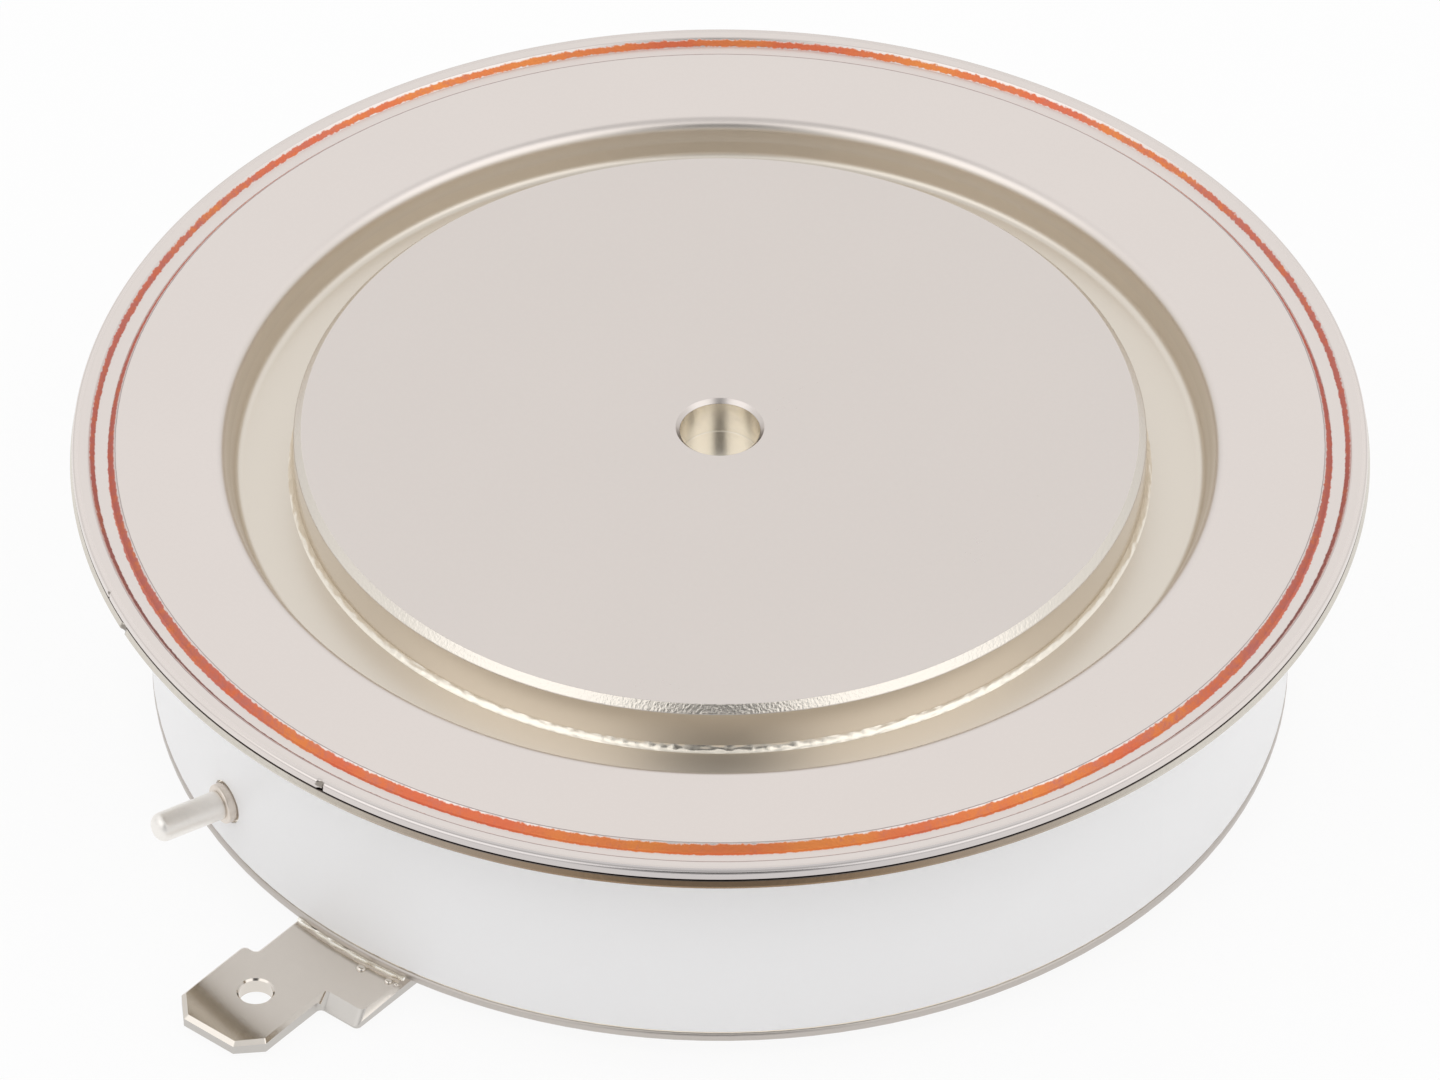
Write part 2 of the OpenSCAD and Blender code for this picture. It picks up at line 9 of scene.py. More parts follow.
# %% Load the solid model
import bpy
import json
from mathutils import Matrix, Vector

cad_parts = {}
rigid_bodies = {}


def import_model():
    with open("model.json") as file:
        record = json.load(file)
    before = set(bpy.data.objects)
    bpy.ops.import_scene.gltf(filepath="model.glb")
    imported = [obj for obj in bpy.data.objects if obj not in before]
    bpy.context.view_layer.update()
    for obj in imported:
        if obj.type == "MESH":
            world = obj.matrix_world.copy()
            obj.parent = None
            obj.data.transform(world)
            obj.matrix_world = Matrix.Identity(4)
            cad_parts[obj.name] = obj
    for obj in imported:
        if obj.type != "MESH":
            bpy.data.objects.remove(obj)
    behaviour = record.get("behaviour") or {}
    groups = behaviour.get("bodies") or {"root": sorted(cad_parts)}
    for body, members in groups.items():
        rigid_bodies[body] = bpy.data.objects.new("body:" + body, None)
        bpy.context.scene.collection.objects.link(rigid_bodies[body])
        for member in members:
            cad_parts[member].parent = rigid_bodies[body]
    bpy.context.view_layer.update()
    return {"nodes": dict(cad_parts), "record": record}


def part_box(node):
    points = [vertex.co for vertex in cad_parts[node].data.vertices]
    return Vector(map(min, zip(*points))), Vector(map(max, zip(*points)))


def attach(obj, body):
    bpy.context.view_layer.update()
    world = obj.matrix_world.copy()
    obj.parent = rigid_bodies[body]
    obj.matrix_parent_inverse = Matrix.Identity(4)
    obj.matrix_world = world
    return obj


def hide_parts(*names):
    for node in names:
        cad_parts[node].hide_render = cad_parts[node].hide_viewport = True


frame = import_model()
print("solid model:", len(frame["nodes"]), "pieces")

# %% [markdown]
# ## Tools
# The drawing is in millimetres and Blender works in metres, so one factor joins the
# two. The radius and the heights of a turned piece are read from the solid model,
# because a size that is measured can't drift away from the model later.

# %% Units and measuring
import json
import math

import bmesh
import bpy
from mathutils import Matrix, Vector, noise

MM = 0.001
scene = bpy.context.scene


def span(node):
    """Largest radius, lowest and highest height of a turned node, in millimetres."""
    low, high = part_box(node)
    return high.x / MM, low.z / MM, high.z / MM


rim_r, _, lid_z = span("anode_lid")
weld_rim_r, sheet_low_z, weld_z = span("weld_flange")
face_z = span("anode_pole")[2]
print(f"rim radius {rim_r:.2f} mm, height {face_z:.2f} mm")

# %% [markdown]
# ## The camera
# The rim of the real capsule looks like an almost perfect ellipse, with no widening
# towards the viewer. Only a long lens from some distance draws it so. The scale of the
# picture, in pixels per millimetre, and the distance together give the focal length,
# and the aim is set so that the contact face stands at its height in the frame.

# %% Camera
PIXELS_WIDE = 1440
SENSOR_WIDTH = 36
CAMERA_TURN = math.radians(40)
CAMERA_RISE = math.radians(40.95)
CAMERA_DISTANCE = 840
PIXELS_PER_MM = 23.07
FACE_ABOVE_MIDDLE = 113.3

turn_sin, turn_cos = math.sin(CAMERA_TURN), math.cos(CAMERA_TURN)
rise_sin, rise_cos = math.sin(CAMERA_RISE), math.cos(CAMERA_RISE)
toward_camera = Vector((turn_sin * rise_cos, -turn_cos * rise_cos, rise_sin))
picture_up = Vector((-turn_sin * rise_sin, turn_cos * rise_sin, rise_cos))
aim = Vector((0, 0, face_z)) - picture_up * FACE_ABOVE_MIDDLE / PIXELS_PER_MM

camera_data = bpy.data.cameras.new("long_lens")
camera_data.sensor_width = SENSOR_WIDTH
camera_data.lens = PIXELS_PER_MM * CAMERA_DISTANCE * SENSOR_WIDTH / PIXELS_WIDE
camera_data.clip_start = 0.01
camera = bpy.data.objects.new("camera", camera_data)
camera.location = (aim + toward_camera * CAMERA_DISTANCE) * MM
camera.rotation_euler = toward_camera.to_track_quat("Z", "Y").to_euler()
scene.collection.objects.link(camera)
scene.camera = camera
print(f"lens {camera_data.lens:.0f} mm")

# %% [markdown]
# ## Small helpers for node trees
# Every finish below is a tree of shader nodes, and a few helpers keep the cells short.
# The first adds a node and feeds its inputs, from other nodes or with plain values. The
# others are the steps that masks and colours are made of: arithmetic, a mix, several
# mixes on top of each other, a ramp and a noise.


# %% Node helpers
def add(tree, kind, inputs=(), **options):
    """Adds a shader node, sets its options and feeds its inputs by name or number."""
    node = tree.nodes.new("ShaderNode" + kind)
    for key, value in options.items():
        setattr(node, key, value)
    for key, value in dict(inputs).items():
        if isinstance(value, bpy.types.NodeSocket):
            tree.links.new(value, node.inputs[key])
        else:
            node.inputs[key].default_value = value
    return node


def maths(tree, operation, first, second=0.0):
    """One step of arithmetic."""
    return add(tree, "Math", {0: first, 1: second}, operation=operation).outputs[0]


def blend(tree, share, first, second, kind="FLOAT"):
    """Mixes two values, or two colours when kind is RGBA."""
    inputs = {"Factor": share, "A": first, "B": second}
    return add(tree, "Mix", inputs, data_type=kind).outputs["Result"]


def coats(tree, base, layers, kind="FLOAT"):
    """Lays values over a base one after another, each where its mask is."""
    for mask, value in layers:
        base = blend(tree, mask, base, value, kind)
    return base


def ramp(tree, value, start, end, first=0.0, last=1.0, kind="LINEAR"):
    """Goes from first to last while a value goes from start to end."""
    return add(tree, "MapRange", {
        "Value": value,
        "From Min": start,
        "From Max": end,
        "To Min": first,
        "To Max": last,
    }, interpolation_type=kind).outputs[0]


def speckle(tree, where, scale, detail, roughness=0.5):
    """Noise from 0 to 1. A larger scale gives smaller spots."""
    inputs = {"Vector": where, "Scale": scale, "Detail": detail, "Roughness": roughness}
    return add(tree, "TexNoise", inputs).outputs["Fac"]


print("node helpers ready")

# %% [markdown]
# ## Node groups
# An effect that several finishes share is a node group with named sockets. It is built
# once and then placed in each finish that needs it, with that finish's own values.


# %% Group helpers
def new_group(name, inputs, outputs):
    """Starts a node group with named sockets and returns the tree and its two ends."""
    tree = bpy.data.node_groups.new(name, "ShaderNodeTree")
    for direction, sockets in (("INPUT", inputs), ("OUTPUT", outputs)):
        for socket, kind in sockets.items():
            tree.interface.new_socket(
                socket, in_out=direction, socket_type="NodeSocket" + kind
            )
    group_in = tree.nodes.new("NodeGroupInput")
    group_out = tree.nodes.new("NodeGroupOutput")
    return tree, group_in.outputs, group_out.inputs


def put_out(tree, ends, **values):
    """Links values to a group's outputs by name."""
    for socket, value in values.items():
        tree.links.new(value, ends[socket])
    print("group:", tree.name)


def place(tree, group, inputs=()):
    """Places a node group in a tree and returns its outputs."""
    return add(tree, "Group", inputs, node_tree=group).outputs


print("group helpers ready")

# %% [markdown]
# ## Where on the drawing are we?
# Most marks on this capsule run round its axis: the weld groove, the chamfers, the
# turning marks. A finish therefore needs the distance from the axis. This group turns
# Blender's object coordinates into millimetres on the drawing, and adds the radius. Its
# last value tells the front of the capsule from the back, from 1 to -1. It belongs to
# the capsule, so the marks stay in their places whichever side is looked at.

# %% Group: place on the drawing
drawing, _, ends = new_group(
    "place on the drawing",
    {},
    {"Position": "Vector", "Radius": "Float", "Height": "Float", "Front": "Float"},
)
metres = add(drawing, "TexCoord").outputs["Object"]
position = add(
    drawing, "VectorMath", {0: metres, "Scale": 1 / MM}, operation="SCALE"
).outputs[0]
axes = add(drawing, "SeparateXYZ", {0: position}).outputs
across = add(drawing, "CombineXYZ", {"X": axes["X"], "Y": axes["Y"]}).outputs[0]
from_axis = add(drawing, "VectorMath", {0: across}, operation="LENGTH").outputs["Value"]
outward = add(drawing, "VectorMath", {0: across}, operation="NORMALIZE").outputs[0]
# The front faces the camera, and several finishes lay painted shade and painted
# reflections out by it.
to_front = (turn_sin, -turn_cos, 0)
front = add(
    drawing, "VectorMath", {0: outward, 1: to_front}, operation="DOT_PRODUCT"
).outputs["Value"]
put_out(
    drawing, ends, Position=position, Radius=from_axis, Height=axes["Z"], Front=front
)

# %% [markdown]
# ## Grain of a plated surface
# Electroplated nickel isn't one flat colour. It has a fine grain, and slow clouds where
# the plating is a little thicker or was handled. One group makes both, as changes of
# colour, of roughness and of height. Metals, ceramic and plastics all use it with
# different amounts.

# %% Group: surface grain
FINE_SHARE = 0.6
CLOUD_SCALE = 0.11
GRAIN_MIDDLE = 0.8

grain, given, ends = new_group(
    "surface grain",
    {
        "Position": "Vector",
        "Colour": "Color",
        "Tone": "Float",
        "Roughness": "Float",
        "Spread": "Float",
        "Fineness": "Float",
    },
    {"Colour": "Color", "Roughness": "Float", "Height": "Float"},
)
fine = speckle(grain, given["Position"], given["Fineness"], 3)
cloud = speckle(grain, given["Position"], CLOUD_SCALE, 2)
mixed = maths(grain, "ADD", maths(grain, "MULTIPLY", fine, FINE_SHARE), cloud)
swing = maths(grain, "SUBTRACT", mixed, GRAIN_MIDDLE)
shade = maths(grain, "ADD", maths(grain, "MULTIPLY", swing, given["Tone"]), 1)
toned = add(
    grain, "VectorMath", {0: given["Colour"], "Scale": shade}, operation="SCALE"
).outputs[0]
rough = maths(
    grain, "ADD", given["Roughness"], maths(grain, "MULTIPLY", swing, given["Spread"])
)
put_out(grain, ends, Colour=toned, Roughness=rough, Height=fine)

# %% [markdown]
# ## Ragged rings
# The bare copper in the weld groove, the sparkle on a chamfer and the bright bore are
# all rings between two radii. A hard limit would look printed, so the radius is shaken
# by noise before it is compared. The group gives a mask from 0 to 1.

# %% Group: ragged ring
ring, given, ends = new_group(
    "ragged ring",
    {
        "Position": "Vector",
        "Radius": "Float",
        "Inside": "Float",
        "Outside": "Float",
        "Rag": "Float",
        "Fineness": "Float",
        "Softness": "Float",
    },
    {"Mask": "Float"},
)
shake = speckle(ring, given["Position"], given["Fineness"], 4)
shift = maths(ring, "MULTIPLY", maths(ring, "SUBTRACT", shake, 0.5), given["Rag"])
shaken = maths(ring, "ADD", given["Radius"], shift)
past_inside = maths(
    ring, "DIVIDE", maths(ring, "SUBTRACT", shaken, given["Inside"]), given["Softness"]
)
short_of_outside = maths(
    ring, "DIVIDE", maths(ring, "SUBTRACT", given["Outside"], shaken), given["Softness"]
)
within = maths(ring, "MINIMUM", past_inside, short_of_outside)
put_out(ring, ends, Mask=add(ring, "Clamp", {0: within}).outputs[0])


def ragged(tree, here, inside, outside, rag, fineness, softness=0.012):
    """Places a ragged ring at a place on the drawing and returns its mask."""
    return place(tree, ring, {
        "Position": here["Position"],
        "Radius": here["Radius"],
        "Inside": inside,
        "Outside": outside,
        "Rag": rag,
        "Fineness": fineness,
        "Softness": softness,
    })["Mask"]


# %% [markdown]
# ## Painted shade in the knocks
# The rims took a few knocks in handling. Each knock has an angle round the axis, a
# width and a depth. This group darkens an uneven round spot, which is painted shade for
# the shaded hollow of the knock. Both rim finishes place it where the shape gets a
# knock further down.

# %% Group: painted shade spot
LID_KNOCKS = ((math.radians(272.7), 0.4, 0.1), (math.radians(240.8), 0.2, 0.05))
SHEET_KNOCKS = ((math.radians(244.5), 0.5, 0.12),)
# The colour of the painted shade in the hollow of each knock.
KNOCK_SHADE = (0.30, 0.27, 0.24, 1)
KNOCK_SINK = 0.2
KNOCK_SHADE_SCALE = 5.0
KNOCK_SHADE_FULL, KNOCK_SHADE_GONE = 1.2, 1.5
KNOCK_SHADE_REACH = 0.65

knock_shade_group, given, ends = new_group(
    "painted shade spot",
    {"Position": "Vector", "Middle": "Vector", "Size": "Float"},
    {"Mask": "Float"},
)
shake = speckle(knock_shade_group, given["Position"], KNOCK_SHADE_SCALE, 2)
away = add(
    knock_shade_group, "VectorMath", {0: given["Position"], 1: given["Middle"]}, operation="DISTANCE"
).outputs["Value"]
uneven = maths(knock_shade_group, "ADD", maths(knock_shade_group, "DIVIDE", away, given["Size"]), shake)
put_out(knock_shade_group, ends, Mask=ramp(knock_shade_group, uneven, KNOCK_SHADE_FULL, KNOCK_SHADE_GONE, 1.0, 0.0))


def paint_knock_shade(tree, here, colour, knocks, radius, height):
    """Paints shade over a colour at each knock of a rim and returns the new colour."""
    for at, width, _ in knocks:
        knock_shade_mask = place(tree, knock_shade_group, {
            "Position": here["Position"],
            "Middle": (radius * math.cos(at), radius * math.sin(at), height),
            "Size": KNOCK_SHADE_REACH * width,
        })["Mask"]
        colour = blend(tree, knock_shade_mask, colour, KNOCK_SHADE, "RGBA")
    return colour


# %% [markdown]
# ## Starting and ending a finish
# Each finish is one material: a Principled shader, the place on the drawing and the
# grain. What differs, such as copper in the groove, is added between the start and the
# end. At the end a bump node turns a height into a slight waviness of the normal.


# %% Finish starter
def start_finish(name, colour, roughness, metallic=1.0, tone=0.05, spread=0.08,
                 fineness=5.0):
    """A material with a shader, its place on the drawing and its grain."""
    material = bpy.data.materials.new(name)
    material.use_nodes = True
    tree = material.node_tree
    tree.nodes.clear()
    shader = add(tree, "BsdfPrincipled", {"Metallic": metallic})
    output = add(tree, "OutputMaterial")
    tree.links.new(shader.outputs["BSDF"], output.inputs["Surface"])
    here = place(tree, drawing)
    look = place(tree, grain, {
        "Position": here["Position"],
        "Colour": (*colour, 1),
        "Tone": tone,
        "Roughness": roughness,
        "Spread": spread,
        "Fineness": fineness,
    })
    return material, tree, shader, here, look


def end_finish(tree, shader, colour, roughness, height, bump, depth):
    """Feeds the shader with a colour, a roughness and, through a bump, a height."""
    wavy = add(tree, "Bump", {
        "Strength": bump,
        "Distance": depth * MM,
        "Height": height,
    })
    tree.links.new(colour, shader.inputs["Base Color"])
    tree.links.new(roughness, shader.inputs["Roughness"])
    tree.links.new(wavy.outputs["Normal"], shader.inputs["Normal"])


def grained_finish(name, colour, roughness, metallic=0.0, tone=0.06, spread=0.08,
                   fineness=6.0, bump=0.05, depth=0.002):
    """A finish with surface grain in its colour, roughness and height."""
    material, tree, shader, _, look = start_finish(
        name, colour, roughness, metallic, tone, spread, fineness
    )
    end_finish(
        tree, shader, look["Colour"], look["Roughness"], look["Height"], bump, depth
    )
    return material


print("finish starter ready")

# %% [markdown]
# ## Nickel on the upper contact pole
# The contact face is turned copper with a satin nickel plate. In white light nickel is
# a warm grey. The chamfer was cut last and sparkles, and the locating hole is drilled
# smooth, so it mirrors more sharply than the face. Both are ragged rings that change
# the roughness and the height. On the wall and in the hole the plate is thin and
# yellowish.

# %% Finish: contact nickel
POLE_R = 18.5
POLE_CHAMFER = 0.33
HOLE_R = 1.75
HOLE_CHAMFER = 0.18
MARGIN = 0.01
NICKEL = (0.705, 0.65, 0.615)
WALL_NICKEL = (0.75, 0.69, 0.61, 1)
BORE_NICKEL = (0.84, 0.79, 0.70, 1)
CHAMFER_NICKEL = (0.78, 0.73, 0.66, 1)
SATIN = 0.30
WALL_GLOSS, CHAMFER_GLOSS, BORE_GLOSS = 0.2, 0.24, 0.26
CHAMFER_EDGE = {"rag": 0.03, "fineness": 6.0}
BORE_EDGE = {"rag": 0.01, "fineness": 3.0}
FROM_AXIS = -1.0
SPARKLE_SCALE = 8.0
SPARKLE_DEPTH = 0.014
FACE_GRAIN = 0.03

contact_nickel, tree, shader, here, look = start_finish("contact nickel", NICKEL, SATIN)
chamfer = ragged(
    tree, here, POLE_R - POLE_CHAMFER - MARGIN, POLE_R - MARGIN, **CHAMFER_EDGE
)
bore = ragged(tree, here, FROM_AXIS, HOLE_R + MARGIN, **BORE_EDGE)
wall = maths(tree, "GREATER_THAN", here["Radius"], POLE_R - MARGIN / 2)
colour = coats(tree, look["Colour"], (
    (wall, WALL_NICKEL), (chamfer, CHAMFER_NICKEL), (bore, BORE_NICKEL),
), "RGBA")
roughness = coats(tree, look["Roughness"], (
    (chamfer, CHAMFER_GLOSS), (wall, WALL_GLOSS), (bore, BORE_GLOSS),
))
sparkle = speckle(tree, here["Position"], SPARKLE_SCALE, 1)
face_height = maths(tree, "MULTIPLY", look["Height"], FACE_GRAIN)
height = blend(tree, chamfer, face_height, sparkle)
end_finish(tree, shader, colour, roughness, height, bump=1.0, depth=SPARKLE_DEPTH)
print("finish:", contact_nickel.name)

# %% [markdown]
# ## Nickel on the lid
# The lid is copper sheet under satin nickel. In the moat round the pole the plate is
# thinner and yellower, and the pressed wall is duller than the flat rim. The height on
# the drawing tells the moat from the rim. The roughness changes over half a millimetre,
# because a sudden change would draw a line along the lip.

# %% Flange nickel: the moat
MOAT_OUT_R = 24.0
WALL_TOP, WALL_FOOT = 0.4, 0.9
TINT_TOP, TINT_FULL = 0.05, 0.5
SHEET_NICKEL = (0.76, 0.70, 0.665)
MOAT_WALL_ROUGH, MOAT_FLOOR_ROUGH = 0.5, 0.36

flange_nickel, tree, shader, here, look = start_finish(
    "flange nickel", SHEET_NICKEL, SATIN
)
inside_rim = maths(tree, "LESS_THAN", here["Radius"], MOAT_OUT_R)
deep = ramp(tree, here["Height"], lid_z - TINT_FULL, lid_z - TINT_TOP, 1.0, 0.0)
in_moat = maths(tree, "MULTIPLY", deep, inside_rim)
past_lip = ramp(tree, here["Height"], lid_z - WALL_FOOT, lid_z - WALL_TOP, 1.0, 0.0)
moat_wall = maths(tree, "MULTIPLY", past_lip, inside_rim)
moat_floor = maths(tree, "LESS_THAN", here["Height"], lid_z - WALL_FOOT)
plated = blend(tree, in_moat, look["Colour"], WALL_NICKEL, "RGBA")
print("moat plated")

# %% [markdown]
# Two ring-shaped dies press the sheets together until they weld cold. Where a die
# slides down the wall of the groove it scrapes the nickel off, and the copper shows
# with ragged edges. In front the scraping goes on a little onto the groove's floor. The
# rest of the floor is only pressed, so it stays nickel. Thin grey lines of painted
# shade run along the lips of the groove, the outer one only in front. In front, a grey
# line of painted dark reflection also runs along the edge of the rim.

# %% Flange nickel: masks of the groove
GROOVE_IN_R = rim_r - 1.85
GROOVE_OUT_R = rim_r - 0.7
GROOVE_LEAN = 0.29
GROOVE_DEPTH = 0.31
INNER_STARTS, OUTER_ENDS = 0.02, 0.06
INNER_RAG, OUTER_RAG = 0.16, 0.18
COPPER_EDGE = {"fineness": 5.0, "softness": 0.04}
SHORT_BEHIND, FARTHER_IN_FRONT = 0.1, 0.16
LIP_LINE = 0.06
LIP_EDGE = {"rag": 0.04, "fineness": 3.0, "softness": 0.02}
EDGE_LINE = 0.25
FRONT_SHADE_RANGE = (0.0, 0.5)
SCRAPE_RANGE = (-0.4, 0.5)
FOREMOST_RANGE = (0.7, 0.98)

# Painted shade in front: brown on the outer wall and a grey line on the outer lip.
front_shade = ramp(tree, here["Front"], *FRONT_SHADE_RANGE)
foremost = ramp(tree, here["Front"], *FOREMOST_RANGE)
in_foot_r = GROOVE_IN_R + GROOVE_LEAN
out_foot_r = GROOVE_OUT_R - GROOVE_LEAN
scraped_to = ramp(
    tree, here["Front"], *SCRAPE_RANGE,
    in_foot_r - SHORT_BEHIND, in_foot_r + FARTHER_IN_FRONT,
)
inner_wall = ragged(
    tree, here, GROOVE_IN_R + INNER_STARTS, scraped_to, INNER_RAG, **COPPER_EDGE
)
outer_wall = ragged(
    tree, here, out_foot_r - MARGIN, GROOVE_OUT_R - OUTER_ENDS, OUTER_RAG, **COPPER_EDGE
)
bare = maths(tree, "MAXIMUM", inner_wall, outer_wall)
# Thin grey lines of painted shade along the lips of the groove.
inner_lip_shade = ragged(tree, here, GROOVE_IN_R - LIP_LINE, GROOVE_IN_R, **LIP_EDGE)
outer_lip_shade = ragged(tree, here, GROOVE_OUT_R, GROOVE_OUT_R + LIP_LINE, **LIP_EDGE)
outer_lip_shade = maths(tree, "MULTIPLY", outer_lip_shade, front_shade)
crisp = maths(tree, "GREATER_THAN", here["Radius"], rim_r - EDGE_LINE)
# A grey line of painted dark reflection along the rim's edge, in front only.
rim_edge_reflection = maths(tree, "MULTIPLY", crisp, foremost)
print(f"groove from {GROOVE_IN_R:.2f} to {GROOVE_OUT_R:.2f} mm")

# %% [markdown]
# The copper isn't one colour either. It is a dull rose with random orange blotches,
# and the orange has slow patches of gold. Where the groove is seen end-on, in front and
# behind, more of it turns orange as a painted reflection. In front, the outer wall is
# painted brown as shade. Noise blurs where one colour gives way to the next.

# %% Flange nickel: copper
COPPER_ORANGE = (0.77, 0.20, 0.10, 1)
COPPER_GOLD = (0.82, 0.29, 0.09, 1)
COPPER_ROSE = (0.62, 0.215, 0.175, 1)
COPPER_SHADED_BROWN = (0.27, 0.15, 0.14, 1)
BLOTCH_SCALE = 1.6
BLOTCH_ROUGHNESS = 0.8
GOLD_SCALE = 0.15
END_ON_REFLECTION_SHARE = 0.3
ORANGE_RANGE = (0.5, 0.74)
GOLD_RANGE = (0.42, 0.6)

blotch = speckle(tree, here["Position"], BLOTCH_SCALE, 6, BLOTCH_ROUGHNESS)
# Painted reflection: more orange where the groove is seen end-on, in front and behind.
end_on_reflection = maths(tree, "MULTIPLY", here["Front"], here["Front"])
blotch_and_reflection = maths(tree, "ADD", blotch, maths(tree, "MULTIPLY", end_on_reflection, END_ON_REFLECTION_SHARE))
orange_share = ramp(tree, blotch_and_reflection, *ORANGE_RANGE)
patches = speckle(tree, here["Position"], GOLD_SCALE, 3)
gold_share = ramp(tree, patches, *GOLD_RANGE)
orange_copper = blend(tree, gold_share, COPPER_ORANGE, COPPER_GOLD, "RGBA")
copper = blend(tree, orange_share, COPPER_ROSE, orange_copper, "RGBA")
# Painted shade: the copper of the outer wall turns brown in front.
shaded_copper = blend(tree, front_shade, copper, COPPER_SHADED_BROWN, "RGBA")
print("copper coloured")

# %% [markdown]
# Now the colours go on like coats of paint: the grey lines of painted shade and painted
# reflection first, the copper over them, and the painted shade in the knocks last. The
# roughness is built the same way, and the height lets the scraped copper stand out
# rough from the smooth plate.

# %% Flange nickel: all together
# Greys of painted shade on the lips, and of painted dark reflection on the rim's edge.
LIP_SHADE = (0.40, 0.33, 0.32, 1)
EDGE_REFLECTION_GREY = (0.60, 0.565, 0.555, 1)
EDGE_GLOSS = 0.14
COPPER_ROUGH = 0.5
SCRAPE_SCALE = 8.0
SCRAPE_DEPTH = 0.03
SHEET_GRAIN = 0.05

colour = coats(tree, plated, (
    (inner_lip_shade, LIP_SHADE), (outer_lip_shade, LIP_SHADE), (rim_edge_reflection, EDGE_REFLECTION_GREY),
    (inner_wall, copper), (outer_wall, shaded_copper),
), "RGBA")
# Painted shade in the knocks of the lid.
colour = paint_knock_shade(tree, here, colour, LID_KNOCKS, rim_r, lid_z - KNOCK_SINK)
roughness = coats(tree, look["Roughness"], (
    (moat_wall, MOAT_WALL_ROUGH), (moat_floor, MOAT_FLOOR_ROUGH),
    (crisp, EDGE_GLOSS), (bare, COPPER_ROUGH),
))
scraped = speckle(tree, here["Position"], SCRAPE_SCALE, 2)
plate_height = maths(tree, "MULTIPLY", look["Height"], SHEET_GRAIN)
height = blend(tree, bare, plate_height, scraped)
end_finish(tree, shader, colour, roughness, height, bump=0.5, depth=SCRAPE_DEPTH)
print("finish:", flange_nickel.name)

# %% [markdown]
# ## The sheared edge and the seam
# The lower sheet was sheared after plating. In front, its edge is painted golden brown
# as a painted dark reflection. Where it lies under the lid the seam is open, and its
# upper side there is painted near black as the seam's shade. Its underside is painted a
# dull brown as shade under the rim.

# %% Finish: sheared edge
SHEAR_SLOPE = 0.17
SEAM_GAP = 0.08
EDGE_METAL = (0.68, 0.64, 0.575)
# Painted colours: a dark reflection on the edge in front, shade in the seam and shade
# on the underside.
EDGE_REFLECTION_BROWN = (0.30, 0.21, 0.135, 1)
SEAM_SHADE = (0.14, 0.12, 0.11, 1)
UNDERSIDE_SHADE = (0.36, 0.31, 0.24, 1)
EDGE_REFLECTION_RANGE = (0.75, 0.98)

sheared_edge, tree, shader, here, look = start_finish(
    "sheared edge", EDGE_METAL, 0.22, tone=0.3, spread=0.2, fineness=4.0
)
under_lid = maths(tree, "LESS_THAN", here["Radius"], weld_rim_r - SHEAR_SLOPE + MARGIN)
upper_side = maths(tree, "GREATER_THAN", here["Height"], weld_z - SEAM_GAP - 2 * MARGIN)
in_seam = maths(tree, "MULTIPLY", under_lid, upper_side)
underside = maths(tree, "LESS_THAN", here["Height"], sheet_low_z + MARGIN)
# Painted dark reflection on the edge, in front only.
front_edge_reflection = ramp(tree, here["Front"], *EDGE_REFLECTION_RANGE)
colour = coats(tree, look["Colour"], (
    (front_edge_reflection, EDGE_REFLECTION_BROWN), (in_seam, SEAM_SHADE), (underside, UNDERSIDE_SHADE),
), "RGBA")
# Painted shade in the knock of the lower sheet.
colour = paint_knock_shade(tree, here, colour, SHEET_KNOCKS, weld_rim_r, sheet_low_z + KNOCK_SINK)
end_finish(
    tree, shader, colour, look["Roughness"], look["Height"], bump=0.3, depth=0.02
)
print("finish:", sheared_edge.name)

# %% [markdown]
# ## The other finishes
# The rest need no rings, only the grain with other values. Solder is bright silver, and
# weld metal brighter still. The tab is brass with a mirror-like plate. Its cut sides
# are duller, and their colour is painted darker as shade. The lower flange is painted
# darker than the upper sheets as shade near the floor, and the lower pole is duller
# than the upper one. The gate pin is pale and its collar darker, and alumina is a cool
# white with a soft gloss. The pieces inside the capsule are ivory plastic, ground
# molybdenum, dark silicon, spring steel and red silicone rubber.

# %% Finishes with grain only
solder = grained_finish(
    "silver solder", (0.86, 0.80, 0.70), 0.22, metallic=1.0, tone=0.1, spread=0.1,
    fineness=5.0, bump=0.2, depth=0.02,
)
tab_nickel = grained_finish(
    "tab nickel", (0.73, 0.68, 0.62), 0.12, metallic=1.0, tone=0.06, spread=0.05,
    fineness=3.0, bump=0.1, depth=0.01,
)
cathode_nickel = grained_finish("cathode nickel", NICKEL, 0.38, metallic=1.0)
# Painted shade: the lower flange's colour is darker for the shade near the floor.
shaded_lower_nickel = grained_finish(
    "shaded lower flange nickel", (0.53, 0.49, 0.455), 0.32, metallic=1.0, tone=0.08,
)
weld_metal = grained_finish(
    "weld metal", (0.98, 0.96, 0.90), 0.2, metallic=1.0, tone=0.1, spread=0.1,
    fineness=5.0, bump=0.3, depth=0.02,
)
# Painted shade: the cut metal is darker so that the tab's sides and shoulder bevel look
# shaded.
shaded_cut_metal = grained_finish(
    "shaded cut metal", (0.58, 0.555, 0.525), 0.4, metallic=1.0, tone=0.1, spread=0.1,
    fineness=4.0, bump=0.2, depth=0.01,
)
gate_metal = grained_finish(
    "gate metal", (0.93, 0.90, 0.86), 0.42, metallic=1.0, tone=0.12, spread=0.12,
    fineness=6.0, bump=0.25, depth=0.01,
)
collar_metal = grained_finish(
    "collar metal", (0.78, 0.71, 0.64), 0.36, metallic=1.0, tone=0.15, spread=0.1,
    fineness=5.0, bump=0.2, depth=0.01,
)
white_ceramic = grained_finish(
    "white ceramic", (0.96, 0.955, 0.96), 0.35, tone=0.02, spread=0.06,
    fineness=3.0, bump=0.02, depth=0.004,
)
insulator = grained_finish("ivory plastic", (0.88, 0.86, 0.80), 0.5, fineness=3.0)
